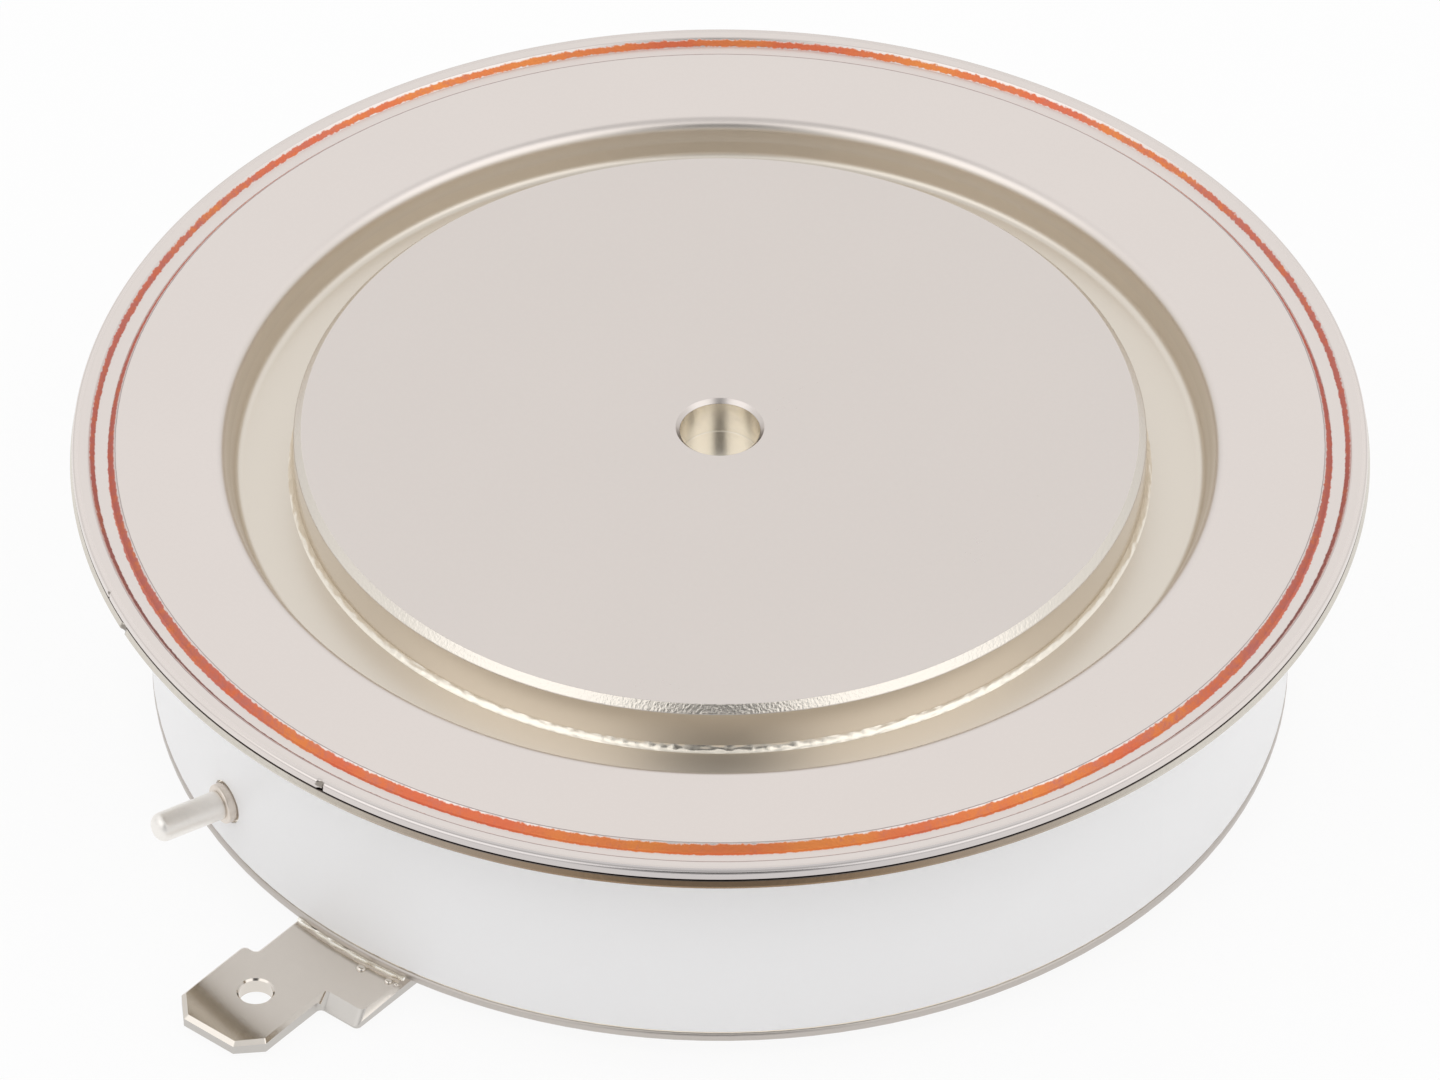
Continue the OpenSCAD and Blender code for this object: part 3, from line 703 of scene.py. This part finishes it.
spring_steel = grained_finish("spring steel", (0.55, 0.55, 0.56), 0.3, metallic=1.0)
molybdenum = grained_finish("ground molybdenum", (0.42, 0.42, 0.43), 0.4, metallic=1.0)
silicon = grained_finish("polished silicon", (0.16, 0.17, 0.20), 0.12, tone=0.1)
seal_rubber = grained_finish("silicone rubber", (0.50, 0.14, 0.10), 0.6, tone=0.15)
print("finishes:", len(bpy.data.materials))

# %% [markdown]
# ## Turning a section
# Most pieces were turned or pressed round, so a lathe is the natural tool: draw half of
# the section, then spin it. Sharp corners look false on metal, so each corner can be
# given a rounding. Beside each arc a holding ring keeps the smooth shading of the arc
# from spreading over the flat next to it.

# %% Lathe
TURN_STEPS = 360
ARC_STEP = math.radians(9)
HOLD = 0.03
SHARP_ANGLE = math.radians(30)
ON_AXIS = 1e-6


def full_turn(count):
    """Equal angles round a circle."""
    return [math.tau * k / count for k in range(count)]


def on_ring(angle, radius, height):
    """A point at an angle round the axis."""
    return Vector((radius * math.cos(angle), radius * math.sin(angle), height))


def rounded(corners):
    """Points of a closed section from corners given as (radius, height, rounding)."""
    arcs = []
    count = len(corners)
    for i, (x, y, rounding) in enumerate(corners):
        here = Vector((x, y))
        before = (Vector(corners[i - 1][:2]) - here).normalized()
        after = (Vector(corners[(i + 1) % count][:2]) - here).normalized()
        if rounding == 0:
            arcs.append([here])
            continue
        half = before.angle(after) / 2
        middle = here + (before + after).normalized() * rounding / math.sin(half)
        start = here + before * rounding / math.tan(half) - middle
        sweep = start.angle_signed(here + after * rounding / math.tan(half) - middle)
        steps = max(2, math.ceil(abs(sweep) / ARC_STEP))
        arc = []
        for k in range(steps + 1):
            turned = Matrix.Rotation(-sweep * k / steps, 2) @ start
            arc.append(middle + turned)
        arcs.append(arc)
    points = []
    for i, arc in enumerate(arcs):
        following = arcs[(i + 1) % count]
        points += arc
        gap = following[0] - arc[-1]
        if gap.length > 4 * HOLD:
            if len(arc) > 1:
                points.append(arc[-1] + gap.normalized() * HOLD)
            if len(following) > 1:
                points.append(following[0] - gap.normalized() * HOLD)
    return points


def finish_mesh(name, bm, material):
    """Turns a bmesh into a linked object with smooth shading and sharp corners."""
    bmesh.ops.recalc_face_normals(bm, faces=bm.faces[:])
    mesh = bpy.data.meshes.new(name)
    bm.to_mesh(mesh)
    bm.free()
    mesh.shade_smooth()
    mesh.set_sharp_from_angle(angle=SHARP_ANGLE)
    mesh.materials.append(material)
    piece = bpy.data.objects.new(name, mesh)
    scene.collection.objects.link(piece)
    print(f"{name}: {len(mesh.polygons)} faces")
    return piece


def turn(name, corners, material, angles=None, reshape=None, place_in=None):
    """Spins a section round the axis. A reshape may move points at each angle."""
    angles = angles or full_turn(TURN_STEPS)
    place_in = place_in or Matrix.Identity(4)
    bm = bmesh.new()
    rings = []
    for point in rounded(corners):
        made = []
        for angle in angles if point.x > ON_AXIS else [0]:
            radius, height = point
            if reshape:
                radius, height = reshape(angle, radius, height)
            made.append(bm.verts.new(place_in @ on_ring(angle, radius, height) * MM))
        rings.append(made)
    count = len(angles)
    for lower, upper in zip(rings, rings[1:] + rings[:1]):
        for k in range(count):
            corners_of_face = []
            around = (lower, k), (lower, k + 1), (upper, k + 1), (upper, k)
            for ring_points, index in around:
                vertex = ring_points[index % len(ring_points)]
                if vertex not in corners_of_face:
                    corners_of_face.append(vertex)
            if len(corners_of_face) > 2:
                bm.faces.new(corners_of_face)
    return finish_mesh(name, bm, material)


def seat(piece, node):
    """Lets a piece stand for a node of the solid model: hides the node and hangs the
    piece on the root body.
    """
    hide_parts(node)
    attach(piece, "root")


print("lathe ready")

# %% [markdown]
# ## The anode pole
# The upper pole is the large round contact face. Its edge has a small chamfer, its
# middle a locating hole for the clamp's centring pin. The section starts at the hole's
# floor on the axis, runs over the face, down the wall and back to the axis inside the
# capsule.

# %% Anode pole
SHOULDER_R = 19.75
HOLE_DEPTH = 1.75
INNER_CHAMFER = 0.3
EDGE_BREAK = 0.03
SHEET = weld_z - sheet_low_z

_, pole_low_z, _ = span("anode_pole")
_, anode_seat_z, _ = span("anode_lid")
moat_z = anode_seat_z + SHEET
anode_pole = turn("anode_pole_turned", [
    (0, face_z - HOLE_DEPTH, 0),
    (HOLE_R, face_z - HOLE_DEPTH, EDGE_BREAK),
    (HOLE_R, face_z - HOLE_CHAMFER, EDGE_BREAK),
    (HOLE_R + HOLE_CHAMFER, face_z, EDGE_BREAK),
    (POLE_R - POLE_CHAMFER, face_z, EDGE_BREAK),
    (POLE_R, face_z - POLE_CHAMFER, EDGE_BREAK),
    (POLE_R, anode_seat_z, 0),
    (SHOULDER_R, anode_seat_z, 0),
    (SHOULDER_R, pole_low_z + INNER_CHAMFER, 0),
    (SHOULDER_R - INNER_CHAMFER, pole_low_z, 0),
    (0, pole_low_z, 0),
], contact_nickel)
seat(anode_pole, "anode_pole")

# %% [markdown]
# ## Knocks
# A knock presses the edge of a rim inwards over a short arc. Such a dent needs many
# points, and they are added only round each knock, so that the rest of the rim stays
# light.


# %% Knocks
KNOCK_POINTS = 24
KNOCK_SPAN = 1.2
KNOCK_REACH = 4
OFF_THE_EVEN_STEPS = 1e-5


def knock_angles(knocks):
    """Angles for the lathe, closer together round each knock (angle, width, depth)."""
    angles = full_turn(TURN_STEPS)
    for at, width, _ in knocks:
        reach = KNOCK_SPAN * width / rim_r
        for k in range(KNOCK_POINTS + 1):
            aside = reach * (2 * k / KNOCK_POINTS - 1)
            angles.append(at + aside + OFF_THE_EVEN_STEPS)
    return sorted(angles)


def knocked(edge_r, knocks):
    """A reshaping that presses the edge in at each knock."""
    def reshape(angle, radius, height):
        for at, width, depth in knocks:
            off = abs(angle - at) * edge_r / (width / 2)
            if off < 1 and radius > edge_r - KNOCK_REACH * depth:
                reach = 1 - (edge_r - radius) / (KNOCK_REACH * depth)
                radius -= depth * (1 - off * off) * reach
        return radius, height
    return reshape


print("knocks ready")

# %% [markdown]
# ## The lid
# The lid is one pressed sheet. Next to the pole it dips into a moat, which lets the
# thin sheet flex when the capsule is clamped. Further out it carries the weld groove. A
# bent sheet is tighter on the inside of a bend than on its outside, so each bend has
# two roundings, and the lips of the groove are only just broken.

# %% Lid
MOAT_FOOT_R = 21.0
MOAT_LIP_R = 21.6
LIP_BEND = 0.5
FOOT_BEND = 0.4
LIP_CREST = 0.6
ROLL = 0.35
ROLL_DROP = 0.05
ROLL_ROUND = 0.18
BURR_ROUND = 0.05
LIP_ROUND = 0.08
FOOT_ROUND = 0.04
SHEET_HOLE_R = 18.55

wall_angle = math.atan2(lid_z - moat_z, MOAT_LIP_R - MOAT_FOOT_R)
bend_shift = SHEET * math.tan(wall_angle / 2)


def groove(surface_z, depth):
    """Section of the weld groove, from the inside to the outside."""
    return [
        (GROOVE_IN_R, surface_z, LIP_ROUND),
        (GROOVE_IN_R + GROOVE_LEAN, surface_z - depth, FOOT_ROUND),
        (GROOVE_OUT_R - GROOVE_LEAN, surface_z - depth, FOOT_ROUND),
        (GROOVE_OUT_R, surface_z, LIP_ROUND),
    ]


lid = turn("anode_lid_pressed", [
    (SHEET_HOLE_R, moat_z - SHEET, 0),
    (SHEET_HOLE_R, moat_z, 0),
    (MOAT_FOOT_R, moat_z, FOOT_BEND),
    (MOAT_LIP_R, lid_z, LIP_CREST),
    *groove(lid_z, GROOVE_DEPTH),
    (rim_r - ROLL, lid_z, ROLL_ROUND),
    (rim_r, lid_z - ROLL_DROP, ROLL_ROUND),
    (rim_r, lid_z - SHEET, BURR_ROUND),
    (MOAT_LIP_R + bend_shift, lid_z - SHEET, LIP_BEND),
    (MOAT_FOOT_R + bend_shift, moat_z - SHEET, FOOT_BEND + SHEET),
], flange_nickel, knock_angles(LID_KNOCKS), knocked(rim_r, LID_KNOCKS))
seat(lid, "anode_lid")

# %% [markdown]
# ## Solder at the foot of the pole
# Molten solder creeps into the corner between the pole and the moat and freezes with a
# lumpy skin. The lathe gives the hollow fillet, and noise moves its skin in and out by
# a few hundredths of a millimetre, more in the middle of the skin than at its two
# edges.

# %% Solder fillet
FILLET = 0.25
FILLET_STEPS = 10
LUMP_SIZE = 0.25
LUMP_HEIGHT = 0.022
HOLLOW = 0.3
EDGE_SHARE = 0.2
SOLDER_STEPS = 900


def lumpy(angle, radius, height):
    """Moves the skin of the fillet with noise, and leaves its corner alone."""
    out, up = radius - POLE_R, height - moat_z
    if out < MARGIN or up < MARGIN:
        return radius, height
    lump = noise.noise(on_ring(angle, radius, height) / LUMP_SIZE) * LUMP_HEIGHT
    lump *= min(1, 4 * out * up / FILLET**2 + EDGE_SHARE)
    return radius + lump, height + lump


fillet = [(POLE_R, moat_z, 0)]
for k in range(FILLET_STEPS + 1):
    share = k / FILLET_STEPS
    bow = HOLLOW * FILLET * share * (1 - share)
    fillet.append((
        POLE_R + FILLET * (1 - share) - bow,
        moat_z + FILLET * share - bow,
        0,
    ))
braze = turn("anode_braze_fillet", fillet, solder, full_turn(SOLDER_STEPS), lumpy)
seat(braze, "anode_braze")

# %% [markdown]
# ## The lower sheet of the weld rim
# A second sheet lies under the lid and is soldered to the ceramic. The cold weld joins
# the two. Its sheared edge slopes, stands out a little past the lid, and has one small
# dent from a knock. Towards the rim the sheets part, and the seam between them is
# painted dark as shade.

# %% Lower sheet
CERAMIC_WALL = 2.5
CERAMIC_R = span("ceramic_ring")[0]
CERAMIC_IN_R = CERAMIC_R - CERAMIC_WALL

weld_flange = turn("weld_flange_sheared", [
    (CERAMIC_IN_R, weld_z, 0),
    (GROOVE_OUT_R, weld_z, 0),
    (weld_rim_r - SHEAR_SLOPE, weld_z - SEAM_GAP, BURR_ROUND),
    (weld_rim_r, sheet_low_z, 2 * BURR_ROUND),
    *reversed(groove(sheet_low_z, -GROOVE_DEPTH)),
    (CERAMIC_IN_R, sheet_low_z, 0),
], sheared_edge, knock_angles(SHEET_KNOCKS), knocked(weld_rim_r, SHEET_KNOCKS))
seat(weld_flange, "weld_flange")

# %% [markdown]
# ## The gate pin and its tube
# The thin gate terminal leaves the ceramic sideways: a short tube, soldered into the
# wall, and a round-ended pin on it. Both are turned on the lathe like the rest, and
# then laid on the pin's own axis, which the record of the part gives.

# %% Gate terminal
gate_mount = next(m for m in frame["record"]["mounts"] if m["name"] == "gate_pin")
along = Vector(gate_mount["axis"]).normalized()
lie_down = along.to_track_quat("Z", "Y").to_matrix().to_4x4()
gate_z = gate_mount["pos_m"][2] / MM
on_gate_axis = Matrix.Translation((0, 0, gate_z)) @ lie_down

PIN_R = 0.65
PIN_L = 3.2
PIN_ROUND = 0.45
STEM_R = 0.475
STEM_IN = 0.9
TUBE_R = 0.9
TUBE_BORE_R = 0.525
TUBE_PROUD = 0.4
TUBE_ROUND = 0.1
SMALL_STEPS = 96

tube_end = CERAMIC_R + TUBE_PROUD
small_angles = full_turn(SMALL_STEPS)
gate_pin = turn("gate_pin_turned", [
    (0, CERAMIC_IN_R - STEM_IN, 0),
    (STEM_R, CERAMIC_IN_R - STEM_IN, 0),
    (STEM_R, tube_end, 0),
    (PIN_R, tube_end, EDGE_BREAK),
    (PIN_R, tube_end + PIN_L, PIN_ROUND),
    (0, tube_end + PIN_L, 0),
], gate_metal, small_angles, place_in=on_gate_axis)
seat(gate_pin, "gate_pin")
gate_tube = turn("gate_tube_turned", [
    (TUBE_BORE_R, CERAMIC_IN_R, 0),
    (TUBE_R, CERAMIC_IN_R, 0),
    (TUBE_R, tube_end, TUBE_ROUND),
    (TUBE_BORE_R, tube_end, 0),
], collar_metal, small_angles, place_in=on_gate_axis)
seat(gate_tube, "gate_tube")

# %% [markdown]
# ## The push-on tab
# The cathode tab was stamped from brass sheet: a base that is spot-welded under the
# flange and a narrower blade with cut corners and a detent hole. Stamping rolls the
# edges, so the tab is stacked from four outlines: a smaller one at the bottom, two full
# ones and a smaller one on top. The corner list takes the set-in of each edge, and
# equal lists of corners give loops with equal counts, which can be joined.

# %% Outlines of the tab
TAB_T = 0.8
BASE_HALF = 3.1
BLADE_W = 4.8
BLADE_L = 5.1
BLADE_OFFSET = 1.4
BLADE_CORNER = 1.0
SHOULDER_BEVEL = 0.55
TAB_ROUND = 0.25
TAB_SOFT = 0.1

(_, tab_front, tab_low_z), (_, tab_root, tab_top_z) = (
    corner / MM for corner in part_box("cathode_tab")
)
tab_step = tab_front + BLADE_L
tab_lip = tab_step - SHOULDER_BEVEL
blade_left = -BLADE_OFFSET - BLADE_W / 2
blade_right = -BLADE_OFFSET + BLADE_W / 2


def tab_outline(front=0.0, side=0.0, lip=0.0):
    """Points of the tab's outline, with its front, its sides and its lip set in."""
    cut = BLADE_CORNER + front * math.sqrt(2)
    return rounded([
        (blade_left + side, tab_front + cut - side, TAB_SOFT),
        (blade_left + cut - front, tab_front + front, TAB_SOFT),
        (blade_right - cut + front, tab_front + front, TAB_SOFT),
        (blade_right - side, tab_front + cut - side, TAB_SOFT),
        (blade_right - side, tab_lip + lip, TAB_ROUND),
        (BASE_HALF - side, tab_lip + lip, TAB_ROUND),
        (BASE_HALF - side, tab_root, TAB_SOFT),
        (-BASE_HALF + side, tab_root, TAB_SOFT),
        (-BASE_HALF + side, tab_step - side, TAB_ROUND),
        (blade_left + side, tab_step - side, TAB_ROUND),
    ])


print("tab outline:", len(tab_outline()), "points")

# %% [markdown]
# The lathe is no help here, so the tab is knitted from loops of points. One helper lays
# a loop at given heights, one joins two loops with a belt of quads, and one fills the
# flat face between an outline and the hole.


# %% Loops, belts and fills
def loop(bm, points, heights):
    """A closed loop of vertices, in millimetres."""
    return [bm.verts.new(Vector((p[0], p[1], z)) * MM) for p, z in zip(points, heights)]


def join(bm, lower, upper):
    """Quads between two loops with equal counts."""
    count = len(lower)
    made = []
    for k in range(count):
        after = (k + 1) % count
        made.append(bm.faces.new((lower[k], lower[after], upper[after], upper[k])))
    return made


def fill(bm, loops):
    """Triangles over a flat face with holes."""
    edges = []
    for points in loops:
        for a, b in zip(points, points[1:] + points[:1]):
            edges.append(bm.edges.get((a, b)) or bm.edges.new((a, b)))
    bmesh.ops.triangle_fill(bm, edges=edges, use_beauty=True)


def circle(x, y, radius, count):
    """Points of a circle."""
    turns = full_turn(count)
    return [(x + radius * math.cos(t), y + radius * math.sin(t)) for t in turns]


print("loops ready")

# %% [markdown]
# The upper full outline doesn't lie level: at the base's wider shoulder it drops by the
# shoulder's bevel. The hole is made of four loops too, wider at both faces. Stamping
# leaves the upright sides and that bevel without plate, so their faces get the duller
# cut metal, whose colour is also darker as painted shade.

# %% Body of the tab
EDGE_SET_IN = 0.16
FRONT_BEVEL = 0.2
BLADE_HOLE_R = 0.75
BLADE_HOLE_BACK = 3.1
BLADE_HOLE_ROUND = 0.08
HOLE_POINTS = 64
SHADED_CUT_INDEX = 2


def upper_edge(point):
    """Height of the upper full outline at a point."""
    along_lip = min(1, max(0, (point[0] - blade_right) / TAB_ROUND))
    at_lip = min(1, max(0, 1 - (point[1] - tab_lip) / SHOULDER_BEVEL))
    return tab_top_z - EDGE_SET_IN - (SHOULDER_BEVEL - EDGE_SET_IN) * along_lip * at_lip


full = tab_outline()
low = tab_outline(FRONT_BEVEL, EDGE_SET_IN, EDGE_SET_IN)
top = tab_outline(FRONT_BEVEL, EDGE_SET_IN, SHOULDER_BEVEL)
count = len(full)
bm = bmesh.new()
outer = [
    loop(bm, low, [tab_low_z] * count),
    loop(bm, full, [tab_low_z + EDGE_SET_IN] * count),
    loop(bm, full, map(upper_edge, full)),
    loop(bm, top, [tab_top_z] * count),
]
hole_y = tab_front + BLADE_HOLE_BACK
hole = []
for widen, z in (
    (BLADE_HOLE_ROUND, tab_low_z),
    (0, tab_low_z + BLADE_HOLE_ROUND),
    (0, tab_top_z - BLADE_HOLE_ROUND),
    (BLADE_HOLE_ROUND, tab_top_z),
):
    ring_points = circle(-BLADE_OFFSET, hole_y, BLADE_HOLE_R + widen, HOLE_POINTS)
    hole.append(loop(bm, ring_points, [z] * HOLE_POINTS))
sides = []
for layers in (hole, outer):
    for lower, upper in zip(layers, layers[1:]):
        sides.append(join(bm, lower, upper))
for face in sides[-2]:
    face.material_index = SHADED_CUT_INDEX
for face in sides[-1]:
    middle = face.calc_center_median() / MM
    if middle.x > blade_right and middle.y < tab_step:
        face.material_index = SHADED_CUT_INDEX
fill(bm, [outer[0], hole[0]])
fill(bm, [outer[3], hole[3]])
print("tab body:", len(bm.faces), "faces")

# %% [markdown]
# The blade's top bends down a little towards its front, which makes it mirror the dark
# underside of the rim there. A flat face can't bend, so it is first cut into rows and
# columns.

# %% Bend of the blade
TIP_BEND_L = 2.6
TIP_DROP = 0.12
TIP_ROWS = 12


def cut_across(bm, point, facing):
    """Cuts the whole mesh with a plane, in millimetres."""
    everything = bm.verts[:] + bm.edges[:] + bm.faces[:]
    bmesh.ops.bisect_plane(bm, geom=everything, plane_co=point * MM, plane_no=facing)


for k in range(1, TIP_ROWS + 1):
    cut_across(bm, Vector((0, tab_front + TIP_BEND_L * k / TIP_ROWS, 0)), (0, 1, 0))
for k in range(1, TIP_ROWS):
    cut_across(bm, Vector((blade_left + BLADE_W * k / TIP_ROWS, 0, 0)), (1, 0, 0))
for vertex in bm.verts:
    share = max(0, 1 - (vertex.co.y / MM - tab_front) / TIP_BEND_L)
    height = (vertex.co.z / MM - tab_low_z) / TAB_T
    vertex.co.z -= TIP_DROP * share**2 * height * MM
print("blade bent by", TIP_DROP, "mm")

# %% [markdown]
# The spot weld left three beads on the base, and a lumpy seam where the flange's
# rounded edge meets the tab. Beads are small flattened balls that sink into the base
# and keep its plate. The seam is a thin tube of bright weld metal along the edge, whose
# thickness follows noise.

# %% Weld beads and seam
BEADS = ((1.12, -25.33, 0.24), (2.56, -25.21, 0.2), (2.94, -25.15, 0.12))
BEAD_RISE = 0.6
SEAM_STEPS = 160
SEAM_SIDES = 8
SEAM_THICK = 0.09
SEAM_THIN = 0.03
SEAM_LUMPS = 0.08
LUMP_PACE = 0.06
SEAM_OUT, SEAM_UP, SEAM_SHORT = 0.03, 0.04, 0.1
WELD_INDEX = 1

for x, y, radius in BEADS:
    spot_of_bead = Matrix.Translation(Vector((x, y, tab_top_z)) * MM)
    flatten = Matrix.Diagonal((1, 1, BEAD_RISE, 1))
    bmesh.ops.create_icosphere(
        bm, subdivisions=3, radius=radius * MM, matrix=spot_of_bead @ flatten
    )
stamped = set(bm.faces)
seam_r = span("cathode_flange")[0] + SEAM_OUT
half_angle = math.asin((BASE_HALF - SEAM_SHORT) / seam_r)
seam_loops = []
for k in range(SEAM_STEPS + 1):
    angle = -math.pi / 2 + half_angle * (2 * k / SEAM_STEPS - 1)
    lump = SEAM_THICK + SEAM_LUMPS * noise.noise(Vector((k * LUMP_PACE, 0, 0)))
    thick = max(SEAM_THIN, lump)
    made = []
    for round_it in full_turn(SEAM_SIDES):
        radius = seam_r + thick * math.cos(round_it)
        height = tab_top_z + SEAM_UP + thick * math.sin(round_it)
        made.append(bm.verts.new(on_ring(angle, radius, height) * MM))
    seam_loops.append(made)
for before, after in zip(seam_loops, seam_loops[1:]):
    join(bm, before, after)
bm.faces.new(seam_loops[0])
bm.faces.new(seam_loops[-1])
for face in set(bm.faces) - stamped:
    face.material_index = WELD_INDEX
tab = finish_mesh("cathode_tab_stamped", bm, tab_nickel)
tab.data.materials.append(weld_metal)
tab.data.materials.append(shaded_cut_metal)
seat(tab, "cathode_tab")

# %% [markdown]
# ## Pieces that keep their solid
# The ceramic ring, the cathode side and everything inside the capsule already have the
# right shape. They only need their finish in place of the plain colour.

# %% Finishes on the solids
for finish, nodes in {
    white_ceramic: ["ceramic_ring"],
    shaded_lower_nickel: ["cathode_flange"],
    cathode_nickel: ["cathode_pole"],
    solder: ["cathode_braze", "upper_braze", "lower_braze", "gate_tube_braze"],
    gate_metal: ["gate_lead", "gate_contact"],
    insulator: ["lead_sleeve", "gate_cup", "gate_bush", "locating_ring"],
    spring_steel: ["gate_spring"],
    molybdenum: ["cathode_disc", "anode_disc"],
    silicon: ["silicon_wafer"],
    seal_rubber: ["edge_seal"],
}.items():
    for node in nodes:
        frame["nodes"][node].material_slots[0].material = finish
print("solids finished")

# %% [markdown]
# ## Two soft lamps
# Metal shows what stands round it. The room is white, and dimmer at the horizon and
# overhead. Two wide soft lamps stand left and right of the lens, and between them the
# camera on its stand makes a dark shape, which the chamfer, the hole and the rim's edge
# mirror. Lamps could be objects, but here all of it is the world, painted by direction,
# so that every change is soft. The camera itself would see plain white.

# %% World
HORIZON, SIDES, OVERHEAD = 0.8, 1.0, 0.66
SIDES_FULL = 0.66
OVERHEAD_STARTS, OVERHEAD_FULL = 0.8, 0.985
LAMP = (49, 12, 32)
LAMP_TURN = 56
LAMP_LIGHT = 0.4
STAND = (20, 16, 26)
STAND_LIGHT = 0.5
LENS = (43, 10, 16)
LENS_LIGHT = 0.12


def direction(turn_by, rise):
    """A direction, turned from the camera's and raised above the horizon."""
    angle = CAMERA_TURN + turn_by
    level = math.cos(rise)
    return Vector((math.sin(angle) * level, -math.cos(angle) * level, math.sin(rise)))


def fade(tree, looking, toward, start, end, outside, inside):
    """A soft change of brightness round one direction, between two cosines."""
    near = add(tree, "VectorMath", {0: looking, 1: toward}, operation="DOT_PRODUCT")
    return ramp(tree, near.outputs["Value"], start, end, outside, inside, "SMOOTHSTEP")


def spot(tree, looking, turn_by, shape, outside, inside):
    """A soft round spot. Its shape is the rise, the core and the edge, in degrees."""
    rise, core, edge = map(math.radians, shape)
    toward = direction(math.radians(turn_by), rise)
    return fade(tree, looking, toward, math.cos(edge), math.cos(core), outside, inside)


world = bpy.data.worlds.new("white room")
scene.world = world
world.use_nodes = True
tree = world.node_tree
tree.nodes.clear()
looking = add(tree, "TexCoord").outputs["Generated"]
up = Vector((0, 0, 1))
level = fade(tree, looking, up, 0.0, SIDES_FULL, HORIZON, SIDES)
overhead = fade(tree, looking, up, OVERHEAD_STARTS, OVERHEAD_FULL, 1, OVERHEAD)
level = maths(tree, "MULTIPLY", level, overhead)
for side in (-LAMP_TURN, LAMP_TURN):
    level = maths(tree, "ADD", level, spot(tree, looking, side, LAMP, 0, LAMP_LIGHT))
for shape, light in ((STAND, STAND_LIGHT), (LENS, LENS_LIGHT)):
    level = maths(tree, "MULTIPLY", level, spot(tree, looking, 0, shape, 1, light))
level = maths(tree, "MAXIMUM", level, add(tree, "LightPath").outputs["Is Camera Ray"])
background = add(tree, "Background", {"Color": (1, 1, 1, 1), "Strength": level})
output = add(tree, "OutputWorld")
tree.links.new(background.outputs[0], output.inputs["Surface"])
print("world:", world.name)

# %% [markdown]
# ## The floor
# The capsule stands on white paper. The camera, and the metal that mirrors the paper,
# see it mostly lit from itself, so it is plain white and still keeps a soft shadow.
# Only the light that it bounces onto the capsule comes from plain paper. It lies a hair
# below the contact face, and it is clear from below, so that the underside can be
# looked at too.

# %% Floor
FLOOR_HALF = 2.0
FLOOR_DROP = 0.02
FLOOR_CELLS = 8

bm = bmesh.new()
bmesh.ops.create_grid(
    bm, x_segments=FLOOR_CELLS, y_segments=FLOOR_CELLS, size=FLOOR_HALF
)
mesh = bpy.data.meshes.new("floor")
bm.to_mesh(mesh)
bm.free()
floor = bpy.data.objects.new("floor", mesh)
floor.location.z = -FLOOR_DROP * MM
scene.collection.objects.link(floor)
print("floor:", 2 * FLOOR_HALF, "m wide")

# %% Paper
PAPER_WHITE = (0.92, 0.92, 0.92, 1)
GLOW_SHARE = 0.9

paper = bpy.data.materials.new("white paper")
paper.use_nodes = True
tree = paper.node_tree
tree.nodes.clear()
plain = add(tree, "BsdfDiffuse", {"Color": PAPER_WHITE})
glow = add(tree, "Emission", {"Color": (1, 1, 1, 1), "Strength": 1.0})
lit = add(tree, "MixShader", {0: GLOW_SHARE, 1: plain.outputs[0], 2: glow.outputs[0]})
path = add(tree, "LightPath").outputs
mirrored = maths(tree, "MAXIMUM", path["Is Glossy Ray"], path["Is Transmission Ray"])
seen = maths(tree, "MAXIMUM", path["Is Camera Ray"], mirrored)
sheet = add(tree, "MixShader", {0: seen, 1: plain.outputs[0], 2: lit.outputs[0]})
below = add(tree, "NewGeometry").outputs["Backfacing"]
clear = add(tree, "BsdfTransparent")
one_sided = add(tree, "MixShader", {0: below, 1: sheet.outputs[0], 2: clear.outputs[0]})
output = add(tree, "OutputMaterial")
tree.links.new(one_sided.outputs[0], output.inputs["Surface"])
mesh.materials.append(paper)
print("finish:", paper.name)

# %% [markdown]
# ## Look
# The Standard view keeps each colour as it is written.

# %% Finish
scene.view_settings.view_transform = "Standard"
